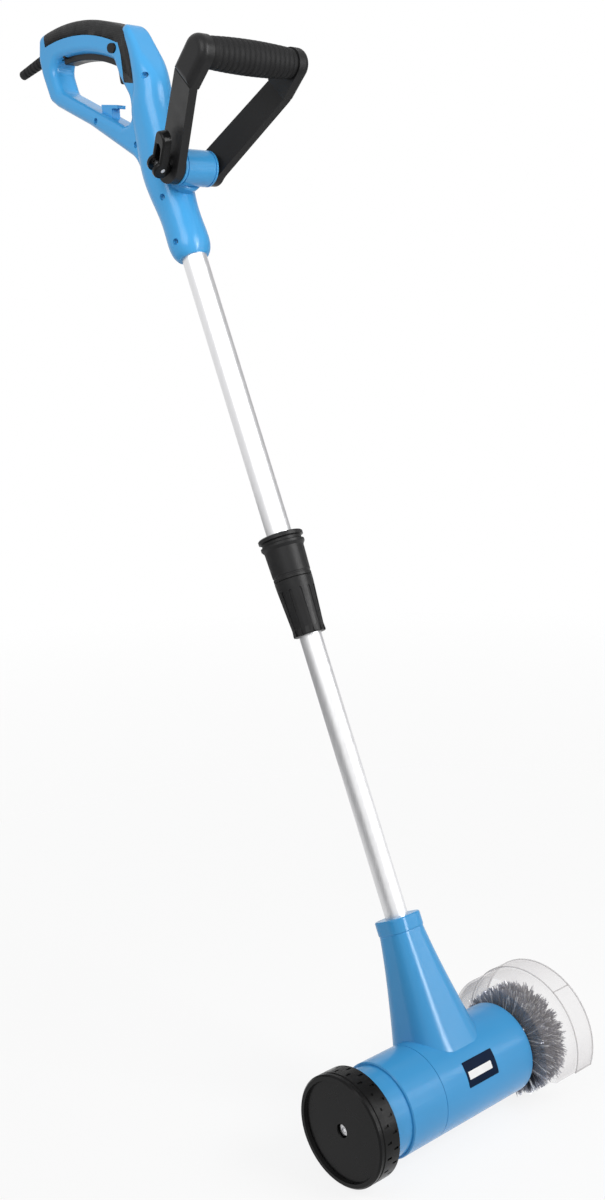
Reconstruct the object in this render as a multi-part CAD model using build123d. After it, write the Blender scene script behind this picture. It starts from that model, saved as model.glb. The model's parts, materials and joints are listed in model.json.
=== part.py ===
from build123d import *
import os
from math import cos, hypot, pi, radians, sin

# Electric joint cleaner: a telescopic shaft with a rear loop handle and a front handle at its
# top, and a motor head across its foot with a guide wheel on one end and a wire brush on the
# other. Sizes are in millimetres. The shaft and head are drawn in the shaft frame: Z up along
# the shaft, X forward, Y along the motor head towards the brush, origin where the shaft meets
# the head's axis. The handles are drawn with Z counted from the rear handle's foot, and are
# lifted onto the shaft by raised(). placed() then leans the whole tool back and puts the middle
# of the rear grip at the origin.

# Fits
FIT = 0.05
RUN = 0.08
MOVING_GAP = 0.4

# Shaft
LEAN = 25.0
HANDLE_FOOT = 819.0
TUBE_IN_HANDLE = 86.0
UPPER_TUBE_R = 12.5
UPPER_TUBE_WALL = 1.1
LOWER_TUBE_WALL = 1.2
TUBE_GAP = 0.4
TUBE_OVERLAP = 130.0
TUBE_SEAT = 62.0

# Twist lock of the telescope
COLLAR_BOTTOM = 427.0
COLLAR_SPLIT = 483.0
COLLAR_TOP = 527.0
COLLAR_RING_WALL = 9.8
COLLAR_WALL = 6.8
COLLAR_NECK_WALL = 4.6
COLLAR_SPIGOT = 26.0
COLLAR_SPIGOT_WALL = 2.5
COLLAR_LIP = 9.0
COLLAR_FLUTES = 12
FLUTE_DEPTH = 0.7

# Rear handle: the grip is an arched band about one centre
GRIP_CENTRE = (-163.0, 80.0)
GRIP_INNER_R = 207.0
GRIP_OUTER_R = 240.0
GRIP_HALF_WIDTH = 15.5
GRIP_EDGE_R = 7.5
BODY_WALL = 7.5
PAD_THICK = 3.0
PAD_EDGE_R = 224.5
PAD_REAR_ANGLE = 77.0
PAD_FRONT_ANGLE = 43.0
HOLD_ANGLE = 58.0

# Trigger, lock button and switch
TRIGGER_HALF_WIDTH = 8.0
TRIGGER_DROP = 6.0
TRIGGER_RISE = 5.0
TRIGGER_FRONT_ANGLE = 43.0
TRIGGER_REAR_ANGLE = 71.5
TRIGGER_PIVOT_ANGLE = 69.5
TRIGGER_TIP = (-18.0, 203.0)
TRIGGER_TIP_R = 3.0
TRIGGER_TRAVEL = 3.5
TRIGGER_PIN_R = 2.0
PIN_SEAT = 4.0
SWITCH_LENGTH = 26.0
SWITCH_HEIGHT = 12.0
SWITCH_HALF_WIDTH = 7.0
SWITCH_ANGLE = 51.0
SWITCH_SHOWS = 0.8
LOCK_AT = (-9.0, 233.5)
LOCK_TURN = -34.0
LOCK_TRAVEL = 2.5
LOCK_LENGTH = 14.0
LOCK_HEIGHT = 9.0
LOCK_PROUD = 1.5
LOCK_CAP = 4.5
LOCK_STEM_R = 3.0
LOCK_SPRING_R = 4.4
LOCK_SPRING_LENGTH = 1.2

# Handle screws
SCREW_R = 1.6
SCREW_HEAD_R = 3.2
SCREW_HEAD = 2.5
SCREW_SINK = 5.0
SCREW_TIP = 6.0

# Cable sleeve
SLEEVE_AT = (-132.0, 300.5)
SLEEVE_TILT = 11.0
SLEEVE_LENGTH = 53.0
SLEEVE_R = 6.2
SLEEVE_TIP_R = 5.0
SLEEVE_GROOVES = 6
SLEEVE_GROOVE = 0.9
SLEEVE_FLANGE_R = 8.0
SLEEVE_FLANGE = 3.0
SLEEVE_DEPTH = 9.0
CABLE_R = 3.9
CLAMP_LENGTH = 7.0
CLAMP_HEIGHT = 17.6

# Front handle
PIVOT_AT = (35.0, 78.0)
PIVOT_BARREL_R = 17.5
PIVOT_BARREL_HALF = 20.0
SADDLE_R = 19.0
FRONT_ANGLE = 21.6
FRONT_REACH = 126.0
FRONT_SEAM = 97.0
ARM_WIDTH = 29.0
ARM_THICK = 9.5
ARM_STRAIGHT = 4.0
ARM_BEND_R = 18.0
ARM_SPREAD = 32.0
ELBOW_THICK = 14.5
ELBOW_ROUND = 7.0
FRONT_GRIP_R = 16.3
FRONT_GRIP_END_R = 14.3
FRONT_CORE_R = 10.0
FRONT_GRIP_RIBS = 12
RIB_DEPTH = 0.8
BOLT_R = 4.0
NUT_R = 9.0
NUT_LENGTH = 8.0
LEVER_LENGTH = 48.0
LEVER_WIDTH = 17.0
LEVER_THICK = 9.0
LEVER_PIN_R = 2.2
LEVER_FORK = 8.4
LEVER_STAND = 10.0
LEVER_TILT = 18.0

# Motor head, along Y
BARREL_R = 43.5
BARREL_WALL = 3.2
BARREL_START = -45.0
BARREL_END = 75.0
COVER_STEP = -88.0
COVER_END = -110.0
COVER_STEP_IN = 2.5
COVER_WALL = 3.0
NECK_TOP = 150.0
NECK_WALL = 6.5
NECK_LIP = 14.0
WHEEL_R = 50.0
WHEEL_OUTER = -136.5
WHEEL_INNER = -112.0
WHEEL_RIM = 5.0
WHEEL_WEB = 4.0
WHEEL_SINK = 3.0
WHEEL_NOTCHES = 22
AXLE_R = 3.0
AXLE_HEAD_R = 5.0
AXLE_HEAD = 3.5
AXLE_SINK = 6.0
AXLE_TIP = -92.0
BOSS_R = 11.0

# Wire brush and guard
BRUSH_R = 52.0
BRUSH_HUB_R = 27.0
BRUSH_BACKING = 3.0
BRUSH_START = 84.0
BRUSH_END = 116.0
BRUSH_FLANGE = 2.0
STRAND_ROWS = 8
STRANDS_PER_ROW = 48
STRAND_SIDE = 1.1
GUARD_R = 66.5
GUARD_WALL = 2.0
GUARD_STEP = 1.5
GUARD_BEVEL = 8.0
GUARD_START = 76.0
GUARD_MIDDLE = 111.0
GUARD_END = 136.0
GUARD_FRONT_ANGLE = -14.0
GUARD_REAR_ANGLE = 214.0
GUARD_HOLE_R = 30.0
GUARD_SEAT = 3.0
GUARD_SCREW_CIRCLE = 35.0
GUARD_SCREW_R = 1.55
GUARD_SCREW_HEAD_R = 3.0

# Motor and gearbox inside the head
SHAFT_R = 5.0
SHAFT_TIP_R = 3.5
SPINDLE_R = 6.0
SPINDLE_SHOULDER = 3.0
GEAR_MODULE = 1.7
SUN_TEETH = 9
PLANET_TEETH = 15
PLANETS = 3
GEAR_FACE = 11.0
GEAR_START = 36.0
TOOTH_SHARE = 0.36
TOOTH_LEAN = 0.36
TOOTH_TIP = 0.8
TOOTH_ROOT = 1.05
CORE_R = 20.0
CORE_START = -38.0
CORE_END = 4.0
CORE_SLOTS = 12
AIR_GAP = 0.6
YOKE = 7.0
POLE_WIDTH = 26.0
COMMUTATOR_R = 11.0
COMMUTATOR_START = -62.0
COMMUTATOR_END = -47.0
CARBON = (18.0, 7.0, 6.0)
CARBON_Y = -54.0
FAN_R = 33.0
FAN_BLADES = 11
FAN_LENGTH = 9.0
BEARING_WIDTH = 8.0
BEARING_GROOVE = 0.8
REAR_BEARING_R = 11.0
REAR_BEARING_Y = -82.0
FRONT_BEARING_R = 12.0
SPINDLE_BEARING_WALL = 9.0
SPINDLE_BEARING_Y = 57.0
CARRIER_GAP = 0.6
CARRIER_THICK = 5.0
CARRIER_RIM = 7.0
PLANET_PIN_R = 3.0
SEAL_WALL = 5.0
SEAL_Y = 71.0

UPPER_TUBE_TOP = HANDLE_FOOT + TUBE_IN_HANDLE
UPPER_BORE_R = UPPER_TUBE_R - UPPER_TUBE_WALL
LOWER_TUBE_R = UPPER_BORE_R - TUBE_GAP
LOWER_BORE_R = LOWER_TUBE_R - LOWER_TUBE_WALL
LOWER_TUBE_TOP = COLLAR_SPLIT + TUBE_OVERLAP
SPIGOT_R = UPPER_TUBE_R + COLLAR_SPIGOT_WALL
SPIGOT_BOTTOM = COLLAR_SPLIT - COLLAR_SPIGOT
BORE_R = BARREL_R - BARREL_WALL
RING_TEETH = SUN_TEETH + 2 * PLANET_TEETH
ORBIT_R = GEAR_MODULE * (SUN_TEETH + PLANET_TEETH) / 2
GEAR_END = GEAR_START + GEAR_FACE
CARRIER_START = GEAR_END + CARRIER_GAP
FRONT_BEARING_Y = GEAR_START - 4 - BEARING_WIDTH
SPINDLE_BEARING_R = SPINDLE_R + SPINDLE_BEARING_WALL
SEAL_R = SPINDLE_R + SEAL_WALL


def polar(angle, radius, centre=GRIP_CENTRE):
    """Point (x, z) at an angle in degrees from +X towards +Z."""
    return (centre[0] + radius * cos(radians(angle)), centre[1] + radius * sin(radians(angle)))


GRIP_POINT = polar(HOLD_ANGLE, (GRIP_INNER_R + GRIP_OUTER_R) / 2)


def raised(shape):
    """Lift a piece of the handles onto the shaft."""
    return Pos(0, 0, HANDLE_FOOT) * shape


def placed(shape):
    """Move a piece from the shaft frame to the part's frame."""
    return Rot(0, -LEAN, 0) * Pos(-GRIP_POINT[0], 0, -GRIP_POINT[1] - HANDLE_FOOT) * shape


def rod(radius, y0, y1, at=(0, 0)):
    """Round bar along Y."""
    return Pos(at[0], (y0 + y1) / 2, at[1]) * Rot(90, 0, 0) * Cylinder(radius, y1 - y0)


def ring(outer, inner, y0, y1, at=(0, 0)):
    """Round tube along Y."""
    return rod(outer, y0, y1, at) - rod(inner, y0 - 1, y1 + 1, at)


def rod_z(radius, z0, z1):
    """Round bar along the shaft."""
    return Pos(0, 0, (z0 + z1) / 2) * Cylinder(radius, z1 - z0)


def tube_z(outer, inner, z0, z1):
    """Round tube along the shaft."""
    return rod_z(outer, z0, z1) - rod_z(inner, z0 - 1, z1 + 1)


def turned_y(points):
    """Body turned about the head's axis from (radius, y) points."""
    return revolve(make_face(Polyline(*points, close=True)), Axis.Y)


def turned_z(points):
    """Body turned about the shaft from (radius, z) points."""
    return revolve(Plane.XZ * make_face(Polyline(*points, close=True)), Axis.Z)


def slab(face, y0, y1):
    """A flat (x, z) face made into a slab between two values of y."""
    return extrude(Plane.XZ.offset(-y0) * face, y0 - y1)


def rounded(points, radii):
    """Flat face with a radius at each corner."""
    return make_face(FilletPolyline(*points, radius=radii, close=True))


def sector(inner, outer, start, end):
    """Flat piece of the grip's arched band between two radii and two angles."""
    middle = (start + end) / 2
    inner_arc = ThreePointArc(polar(start, inner), polar(middle, inner), polar(end, inner))
    outer_arc = ThreePointArc(polar(end, outer), polar(middle, outer), polar(start, outer))
    sides = [Line(inner_arc @ 1, outer_arc @ 0), Line(outer_arc @ 1, inner_arc @ 0)]
    return make_face([inner_arc, sides[0], outer_arc, sides[1]])


def disc(radius, at=(0, 0)):
    """Flat round face."""
    return Pos(at[0], at[1]) * Circle(radius)


def hull_of(*faces):
    """Flat face stretched round several faces."""
    return make_hull([edge for face in faces for edge in face.edges()])


def rim_edges(solid, y):
    """Edges of a slab that lie in one plane across Y."""
    return [edge for edge in solid.edges() if abs(edge.center().Y - y) < 0.01
            and edge.bounding_box().size.Y < 0.01]


def pillow(face, half_width, edge_radius):
    """Slab about the middle plane with both rims rounded."""
    solid = slab(face, -half_width, half_width)
    rims = rim_edges(solid, half_width) + rim_edges(solid, -half_width)
    return fillet(rims, edge_radius)


def around(shape, count):
    """Copies of a shape at equal steps about the head's axis."""
    return [Rot(0, 360 * k / count, 0) * shape for k in range(count)]


# Rear handle

def corners_on(face, radius):
    """Corners of a flat face that lie on a circle about the grip's centre."""
    return [v for v in face.vertices()
            if abs(hypot(v.X - GRIP_CENTRE[0], v.Y - GRIP_CENTRE[1]) - radius) < 0.01]


def loop_outline():
    """Outer outline of the loop: strut, rear post, and a front that runs inside the body."""
    corners = [(-22, 96), (-27, 122), (-82, 190.5), (-125, 236.5), (-133, 248), (-134, 276),
               (-132, 296), (-112, 330), (18, 300), (18, 181), (17, 111)]
    radii = [10, 30, 80, 11, 11, 40, 25, 2, 2, 40, 10]
    blank = rounded(corners, radii) & disc(GRIP_OUTER_R, GRIP_CENTRE)
    return fillet(corners_on(blank, GRIP_OUTER_R), GRIP_EDGE_R + 1.5)


def loop_opening():
    """Outline of the hand opening, its upper side the grip's arch."""
    corners = [(-112, 330), (-112, 247), (-31, 160), (-15, 155), (-8, 178), (-14, 204), (-15, 250)]
    radii = [2, 14, 12, 9, 20, 20, 2]
    blank = rounded(corners, radii) & disc(GRIP_INNER_R, GRIP_CENTRE)
    return fillet(corners_on(blank, GRIP_INNER_R), 11)


def loop_form(inset):
    """The loop's solid, drawn in by an inset."""
    face = loop_outline() - loop_opening()
    if inset:
        face = offset(loop_outline(), -inset) - offset(loop_opening(), inset)
    return pillow(face, GRIP_HALF_WIDTH - inset, GRIP_EDGE_R - inset)


def body_form():
    """Thick body that holds the tube and carries the front handle, up to its horn."""
    half = UPPER_TUBE_R + BODY_WALL
    # Each station: height, rear face, front face, half width.
    stations = [(0, -half + 5, half - 7, half - 4.5),
                (6, -half + 1.5, half - 3.5, half - 1),
                (31, -half - 1, half - 2, half),
                (66, -half - 4.5, half - 1, half + 0.5),
                (116, -half - 5, half + 4, half + 1),
                (166, -13, half + 10.5, half),
                (188, 2, half + 12, half - 1.5),
                (214, 10, half + 6, GRIP_HALF_WIDTH + 0.9),
                (231, 9, half + 2.5, GRIP_HALF_WIDTH - 0.7),
                (241, 8.5, half - 1, GRIP_HALF_WIDTH - 2.5),
                (246, 10, half - 5, GRIP_HALF_WIDTH - 7)]
    sections = []
    for z, rear, front, width in stations:
        depth = front - rear
        section = RectangleRounded(depth, 2 * width, min(depth / 2, width) - 1)
        sections.append(Plane.XY.offset(z) * Pos((rear + front) / 2, 0) * section)
    return loft(sections)


def cord_hook():
    """Small hook on the strut that a loop of extension lead hangs from."""
    outline = [(-66, 188), (-63, 203.5), (-38, 188.5), (-40, 185.5), (-48.5, 191), (-52, 182),
               (-60, 178)]
    return slab(rounded(outline, 0.8), -5, 5)


def pad_region():
    """Side outline of the soft pad: the top of the grip and a band down its front."""
    band = rounded([(-8, 256), (2, 236), (1, 221), (-3, 206), (-7, 194), (11, 182), (15, 198),
                    (14, 240), (12, 270), (-8, 270)],
                   [2, 6, 12, 12, 2.5, 2.5, 12, 12, 2, 2])
    top = sector(PAD_EDGE_R, GRIP_OUTER_R + 20, PAD_FRONT_ANGLE, PAD_REAR_ANGLE)
    return top + band


def grip_pad():
    """Soft pad laid into the grip's skin."""
    skin = loop_form(0) - loop_form(PAD_THICK)
    return skin & slab(pad_region(), -40, 40)


def trigger_pivot():
    """Place of the trigger's pin."""
    return polar(TRIGGER_PIVOT_ANGLE, GRIP_INNER_R + 1.0)


def pressed(face):
    """An outline turned about the trigger's pin by the trigger's travel."""
    x, z = trigger_pivot()
    return Pos(x, z) * Rot(0, 0, TRIGGER_TRAVEL) * Pos(-x, -z) * face


def tip_outline(radius):
    """Outline of the trigger's front tip, which hangs down the opening's front side."""
    root = polar(TRIGGER_FRONT_ANGLE + 0.6, GRIP_INNER_R - 2.0)
    return hull_of(disc(radius, root), disc(radius, TRIGGER_TIP))


def pocket_top():
    """Radius that the trigger's upper side reaches when it is pressed."""
    pin = trigger_pivot()
    front = polar(TRIGGER_FRONT_ANGLE, GRIP_INNER_R)
    lift = radians(TRIGGER_TRAVEL) * hypot(front[0] - pin[0], front[1] - pin[1])
    return GRIP_INNER_R + TRIGGER_RISE + lift + MOVING_GAP


def trigger_pocket():
    """Room in the grip for the trigger over its travel, its pin and the switch."""
    half = TRIGGER_HALF_WIDTH + MOVING_GAP
    swing = sector(GRIP_INNER_R - 12, pocket_top(), TRIGGER_FRONT_ANGLE - 2, TRIGGER_REAR_ANGLE + 1)
    grown = tip_outline(TRIGGER_TIP_R + MOVING_GAP)
    room = slab(swing, -half, half) + slab(hull_of(grown, pressed(grown)), -half, half)
    pin = rod(TRIGGER_PIN_R + FIT, -half - PIN_SEAT, half + PIN_SEAT, trigger_pivot())
    return room + pin + switch_block(FIT)


def switch_block(grow):
    """Switch case, or the room for it when grown by a clearance."""
    at = polar(SWITCH_ANGLE, pocket_top() - SWITCH_SHOWS + SWITCH_HEIGHT / 2)
    block = Box(SWITCH_HEIGHT + 2 * grow, 2 * (SWITCH_HALF_WIDTH + grow), SWITCH_LENGTH + 2 * grow)
    return Pos(at[0], 0, at[1]) * Rot(0, -SWITCH_ANGLE, 0) * block


def lock_oval(grow):
    """Outline of the lock button's cap."""
    oval = SlotOverall(LOCK_LENGTH + 2 * grow, LOCK_HEIGHT + 2 * grow)
    return Pos(*LOCK_AT) * Rot(0, 0, LOCK_TURN) * oval


def lock_floor():
    """Bottom of the lock cap's recess."""
    return -GRIP_HALF_WIDTH - LOCK_PROUD + LOCK_CAP + LOCK_TRAVEL + MOVING_GAP


def lock_room():
    """Recess for the lock button, its spring and its stem."""
    floor = lock_floor()
    room = slab(lock_oval(MOVING_GAP), -GRIP_HALF_WIDTH - 5, floor)
    room += rod(LOCK_SPRING_R + 0.2, floor - 1, floor + LOCK_SPRING_LENGTH, LOCK_AT)
    return room + rod(LOCK_STEM_R + MOVING_GAP, floor, 0, LOCK_AT)


def sleeve_frame():
    """Axes at the cable entry: local Z runs outwards along the cable."""
    return Pos(SLEEVE_AT[0], 0, SLEEVE_AT[1]) * Rot(0, -90 + SLEEVE_TILT, 0)


def sleeve_room():
    """Hole for the cable's sleeve, its flange and the clamp behind it."""
    flange_z = -SLEEVE_DEPTH + SLEEVE_FLANGE / 2
    hole = Pos(0, 0, -4) * Cylinder(SLEEVE_R + FIT, 20)
    hole += Pos(0, 0, flange_z) * Cylinder(SLEEVE_FLANGE_R + FIT, SLEEVE_FLANGE + 2 * FIT)
    lead = 2 * CLAMP_LENGTH
    hole += Pos(0, 0, -SLEEVE_DEPTH - lead / 2) * Box(CLAMP_HEIGHT + 0.4, 2 * CABLE_R + 2, lead)
    return sleeve_frame() * hole


def screw_places():
    """Place, head depth and tip of each handle screw; the last two hold the tube."""
    shell = -GRIP_HALF_WIDTH + SCREW_SINK
    tube = -UPPER_TUBE_R - SCREW_HEAD - 0.3
    tube_tip = -UPPER_BORE_R + 1.0
    return [((26, 182), shell, SCREW_TIP),
            ((-17, 131), shell, SCREW_TIP),
            ((-67, 186), shell, SCREW_TIP),
            ((3, 63), tube, tube_tip),
            ((3, 15), tube, tube_tip)]


def shell_screws():
    """Five screws, set in from the right half."""
    screws = []
    for at, face, tip in screw_places():
        neck = face + SCREW_HEAD
        screws.append(rod(SCREW_HEAD_R, face, neck, at) + rod(SCREW_R, neck, tip, at))
    return screws


def screw_room():
    """Recess, head seat and hole for every handle screw."""
    room = []
    for at, face, tip in screw_places():
        recess = rod(SCREW_HEAD_R + FIT, -40, face + SCREW_HEAD, at)
        room.append(recess + rod(SCREW_R + FIT, face, tip + 0.3, at))
    return room


def handle_halves():
    """Right and left half of the rear handle."""
    whole = loop_form(0) + body_form() + cord_hook()
    whole -= grip_pad()
    whole -= rod_z(UPPER_TUBE_R + FIT, -1, TUBE_IN_HANDLE + 0.1)
    whole -= trigger_pocket()
    whole -= lock_room()
    whole -= sleeve_room()
    whole -= pivot_barrel()
    for room in screw_room():
        whole -= room
    side = Pos(-60, 0, 160) * Box(400, 80, 500)
    return whole & (Pos(0, -40, 0) * side), whole & (Pos(0, 40, 0) * side)


def trigger():
    """Long curved trigger with a tip at its front and a hub round its pin."""
    inner = GRIP_INNER_R - TRIGGER_DROP
    band = sector(inner, GRIP_INNER_R + TRIGGER_RISE, TRIGGER_FRONT_ANGLE, TRIGGER_REAR_ANGLE)
    band = fillet(band.vertices(), 3)
    half = TRIGGER_HALF_WIDTH
    blade = slab(band, -half, half)
    blade = fillet(rim_edges(blade, half) + rim_edges(blade, -half), 1.5)
    tip = slab(tip_outline(TRIGGER_TIP_R), -half, half)
    tip = fillet(rim_edges(tip, half) + rim_edges(tip, -half), 1.5)
    spring_room = rod(6.0, -3.2, 3.2, trigger_pivot())
    return blade + tip - rod(TRIGGER_PIN_R + RUN, -20, 20, trigger_pivot()) - spring_room


def trigger_pin():
    """Pin that the trigger turns on, seated in both shells."""
    half = TRIGGER_HALF_WIDTH + MOVING_GAP + PIN_SEAT - FIT
    return rod(TRIGGER_PIN_R, -half, half, trigger_pivot())


def trigger_spring():
    """Coil of the torsion spring on the trigger's pin."""
    return ring(4.0, TRIGGER_PIN_R + RUN, -2.8, 2.8, trigger_pivot())


def lock_button():
    """Oval lock-off button on the right side."""
    outer = -GRIP_HALF_WIDTH - LOCK_PROUD
    cap = slab(lock_oval(0), outer, outer + LOCK_CAP)
    cap = fillet(rim_edges(cap, outer), 1.0)
    pressed_end = -TRIGGER_HALF_WIDTH - 2 * MOVING_GAP
    return cap + rod(LOCK_STEM_R, outer + LOCK_CAP - 0.5, pressed_end - LOCK_TRAVEL, LOCK_AT)


def lock_spring():
    """Return spring under the lock button, seated in the recess."""
    floor = lock_floor() + LOCK_SPRING_LENGTH
    return ring(LOCK_SPRING_R, LOCK_STEM_R + 0.2, floor - LOCK_SPRING_LENGTH, floor - FIT, LOCK_AT)


def cable_sleeve():
    """Ribbed bend sleeve with its flange inside the shell; the cable's bore runs through."""
    first = 6.0
    pitch = (SLEEVE_LENGTH - 2 * first) / SLEEVE_GROOVES
    taper = (SLEEVE_R - SLEEVE_TIP_R) / SLEEVE_LENGTH
    flange = -SLEEVE_DEPTH + SLEEVE_FLANGE
    points = [(CABLE_R, -SLEEVE_DEPTH), (SLEEVE_FLANGE_R, -SLEEVE_DEPTH),
              (SLEEVE_FLANGE_R, flange), (SLEEVE_R, flange), (SLEEVE_R, first - 2)]
    for k in range(SLEEVE_GROOVES):
        start = first + k * pitch
        radius = SLEEVE_R - taper * start
        points += [(radius, start), (radius - SLEEVE_GROOVE, start + 0.6),
                   (radius - SLEEVE_GROOVE, start + 2.2), (radius, start + 2.8)]
    points += [(SLEEVE_TIP_R, SLEEVE_LENGTH - 1), (SLEEVE_TIP_R - 0.8, SLEEVE_LENGTH),
               (CABLE_R, SLEEVE_LENGTH)]
    return sleeve_frame() * turned_z(points)


def cord_clamp():
    """Bar that grips the cable behind the sleeve."""
    middle = Pos(0, 0, -SLEEVE_DEPTH - CLAMP_LENGTH / 2 - 1)
    bar = Box(CLAMP_HEIGHT, 2 * CABLE_R + 1.6, CLAMP_LENGTH) - Cylinder(CABLE_R, 2 * CLAMP_LENGTH)
    return sleeve_frame() * middle * bar


# Front handle

def front_frame():
    """Axes at the front handle's pivot: local X runs out along the handle, local Y is Y."""
    return Pos(PIVOT_AT[0], 0, PIVOT_AT[1]) * Rot(0, -FRONT_ANGLE, 0)


def pivot_barrel():
    """Cross barrel on the front of the body, with its saddle and a groove near each end."""
    half = PIVOT_BARREL_HALF
    barrel = rod(PIVOT_BARREL_R, -half, half, PIVOT_AT)
    for y in (-half + 3, half - 3):
        barrel -= ring(PIVOT_BARREL_R + 2, PIVOT_BARREL_R - 0.7, y - 0.8, y + 0.8, PIVOT_AT)
    root = UPPER_TUBE_R + 1.5
    web = Pos((root + PIVOT_AT[0]) / 2, 0, PIVOT_AT[1]) * Box(PIVOT_AT[0] - root, 28, 28)
    web = fillet(web.edges().filter_by(Axis.X), 6)
    saddle_x = UPPER_TUBE_R + BODY_WALL + 2.5
    saddle = Pos(saddle_x, 0, PIVOT_AT[1]) * Rot(0, 90, 0) * Cylinder(SADDLE_R, 9)
    saddle = fillet(saddle.edges().group_by(Axis.X)[-1], 3)
    return barrel + web + saddle - rod(BOLT_R + RUN, -60, 60, PIVOT_AT)


def arm_start():
    """Distance of the arms' inner faces from the middle plane at the pivot."""
    return PIVOT_BARREL_HALF + MOVING_GAP


def arm_side_profile():
    """Side outline of an arm: a disc at the pivot and a bar out to the seam."""
    end = Pos(FRONT_SEAM - 1, 0) * Rectangle(2, ARM_WIDTH)
    return hull_of(disc(ARM_WIDTH / 2 + 2), end)


def arm(side):
    """One arm: spot-faced at the pivot, then spread outwards to the seam with the bridge."""
    start = arm_start()
    inner = [(-ARM_WIDTH, start), (ARM_STRAIGHT, start), (FRONT_SEAM, start + ARM_SPREAD)]
    outer = [(x, y + ARM_THICK) for x, y in reversed(inner)]
    bend = ARM_BEND_R
    plan = rounded([(x, side * y) for x, y in inner + outer], [0.5, bend, 0.5, 0.5, bend, 0.5])
    bar = Pos(0, 0, -ARM_WIDTH) * extrude(plan, 2 * ARM_WIDTH)
    bar &= Rot(90, 0, 0) * extrude(arm_side_profile(), 120, both=True)
    seat = lever_seat()
    spot = rod(NUT_R + MOVING_GAP, *sorted((side * seat, side * (seat + 2 * NUT_LENGTH))))
    return front_frame() * (bar - rod(BOLT_R + FIT, -120, 120) - spot)


def elbow_inner():
    """Distance of the elbows' inner faces from the middle plane."""
    return arm_start() + ARM_SPREAD - 1.0


def front_bridge():
    """Two round elbows and the core bar between them."""
    inner = elbow_inner()
    outer = inner + ELBOW_THICK
    seam = Pos(FRONT_SEAM + 1, 0) * Rectangle(2, ARM_WIDTH + 1)
    profile = hull_of(disc(FRONT_GRIP_END_R + 1, (FRONT_REACH, 0)), seam)
    bridge = rod(FRONT_CORE_R, -inner - 2, inner + 2, (FRONT_REACH, 0))
    for side in (-1, 1):
        elbow = slab(profile, min(side * inner, side * outer), max(side * inner, side * outer))
        elbow = fillet(rim_edges(elbow, side * outer), ELBOW_ROUND)
        bridge += elbow
    return front_frame() * bridge


def front_grip():
    """Ribbed soft sleeve on the core bar, fullest in the middle."""
    half = elbow_inner() - FIT
    margin = 4.0
    pitch = 2 * (half - margin) / FRONT_GRIP_RIBS

    def crest(y):
        return FRONT_GRIP_R - (FRONT_GRIP_R - FRONT_GRIP_END_R) * (y / half) ** 2

    points = [(FRONT_CORE_R + FIT, -half), (FRONT_GRIP_END_R - RIB_DEPTH, -half)]
    for k in range(FRONT_GRIP_RIBS):
        y = -half + margin + k * pitch
        top = crest(y + pitch / 2)
        points += [(top - RIB_DEPTH, y), (top, y + 0.8), (top, y + pitch - 1.8),
                   (top - RIB_DEPTH, y + pitch - 1.0)]
    points += [(FRONT_GRIP_END_R - RIB_DEPTH, half), (FRONT_CORE_R + FIT, half)]
    return front_frame() * Pos(FRONT_REACH, 0, 0) * turned_y(points)


def lever_seat():
    """Distance of the arms' outer faces from the middle plane at the pivot."""
    return arm_start() + ARM_THICK


def lever_frame():
    """Axes at the lever's pin: local X runs along the closed lever, local Z along the pin."""
    return front_frame() * Pos(0, -lever_seat() - LEVER_STAND, 0) * Rot(0, 0, -LEVER_TILT)


def pivot_bolt():
    """Through bolt with a cross eye for the lever's pin."""
    eye = -lever_seat() - LEVER_STAND
    bolt = rod(BOLT_R, eye, lever_seat() + 6)
    bolt += Pos(0, eye, 0) * Cylinder(LEVER_PIN_R + 2, LEVER_FORK - 2 * MOVING_GAP)
    return front_frame() * (bolt - Pos(0, eye, 0) * Cylinder(LEVER_PIN_R + RUN, 30))


def pivot_nut():
    """Domed nut on the left end of the bolt."""
    face = lever_seat() + FIT
    nut = ring(NUT_R, BOLT_R + FIT, face, face + NUT_LENGTH)
    nut = fillet(nut.edges().group_by(Axis.Y)[-1].sort_by(lambda e: -e.length)[:1], 2)
    return front_frame() * nut


def lever_pin():
    """Cross pin that the cam lever turns on."""
    return lever_frame() * Cylinder(LEVER_PIN_R, LEVER_WIDTH - 0.6)


def cam_lever():
    """Oval cam lever that clamps the front handle, its round end forked over the bolt's eye."""
    middle = Pos(LEVER_LENGTH / 2 - LEVER_WIDTH / 2, 0)
    oval = middle * SlotOverall(LEVER_LENGTH, LEVER_WIDTH)
    window = Pos(LEVER_LENGTH / 2 - LEVER_WIDTH - 2, 0) * SlotOverall(LEVER_LENGTH - 6, LEVER_FORK)
    ahead = Pos(LEVER_LENGTH / 2, 0) * Rectangle(LEVER_LENGTH, LEVER_WIDTH)
    plate = slab((oval - window) & ahead, -LEVER_THICK / 2, LEVER_THICK / 2)
    rims = [e for e in rim_edges(plate, -LEVER_THICK / 2) if e.length > LEVER_WIDTH]
    plate = fillet(rims, 2)
    cam = Cylinder(LEVER_STAND - MOVING_GAP, LEVER_WIDTH)
    cam = fillet(cam.edges(), 2) - Box(40, 40, LEVER_FORK)
    return lever_frame() * (plate + cam - Cylinder(LEVER_PIN_R + RUN, 40))


# Shaft

def upper_tube():
    """Outer tube of the telescopic shaft, with the holes that its two screws enter."""
    tube = tube_z(UPPER_TUBE_R, UPPER_BORE_R, SPIGOT_BOTTOM, UPPER_TUBE_TOP)
    for at, face, tip in screw_places()[-2:]:
        hole = rod(SCREW_R + FIT, -UPPER_TUBE_R - 1, -UPPER_BORE_R / 2, at)
        tube -= raised(hole)
    return tube


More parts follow.
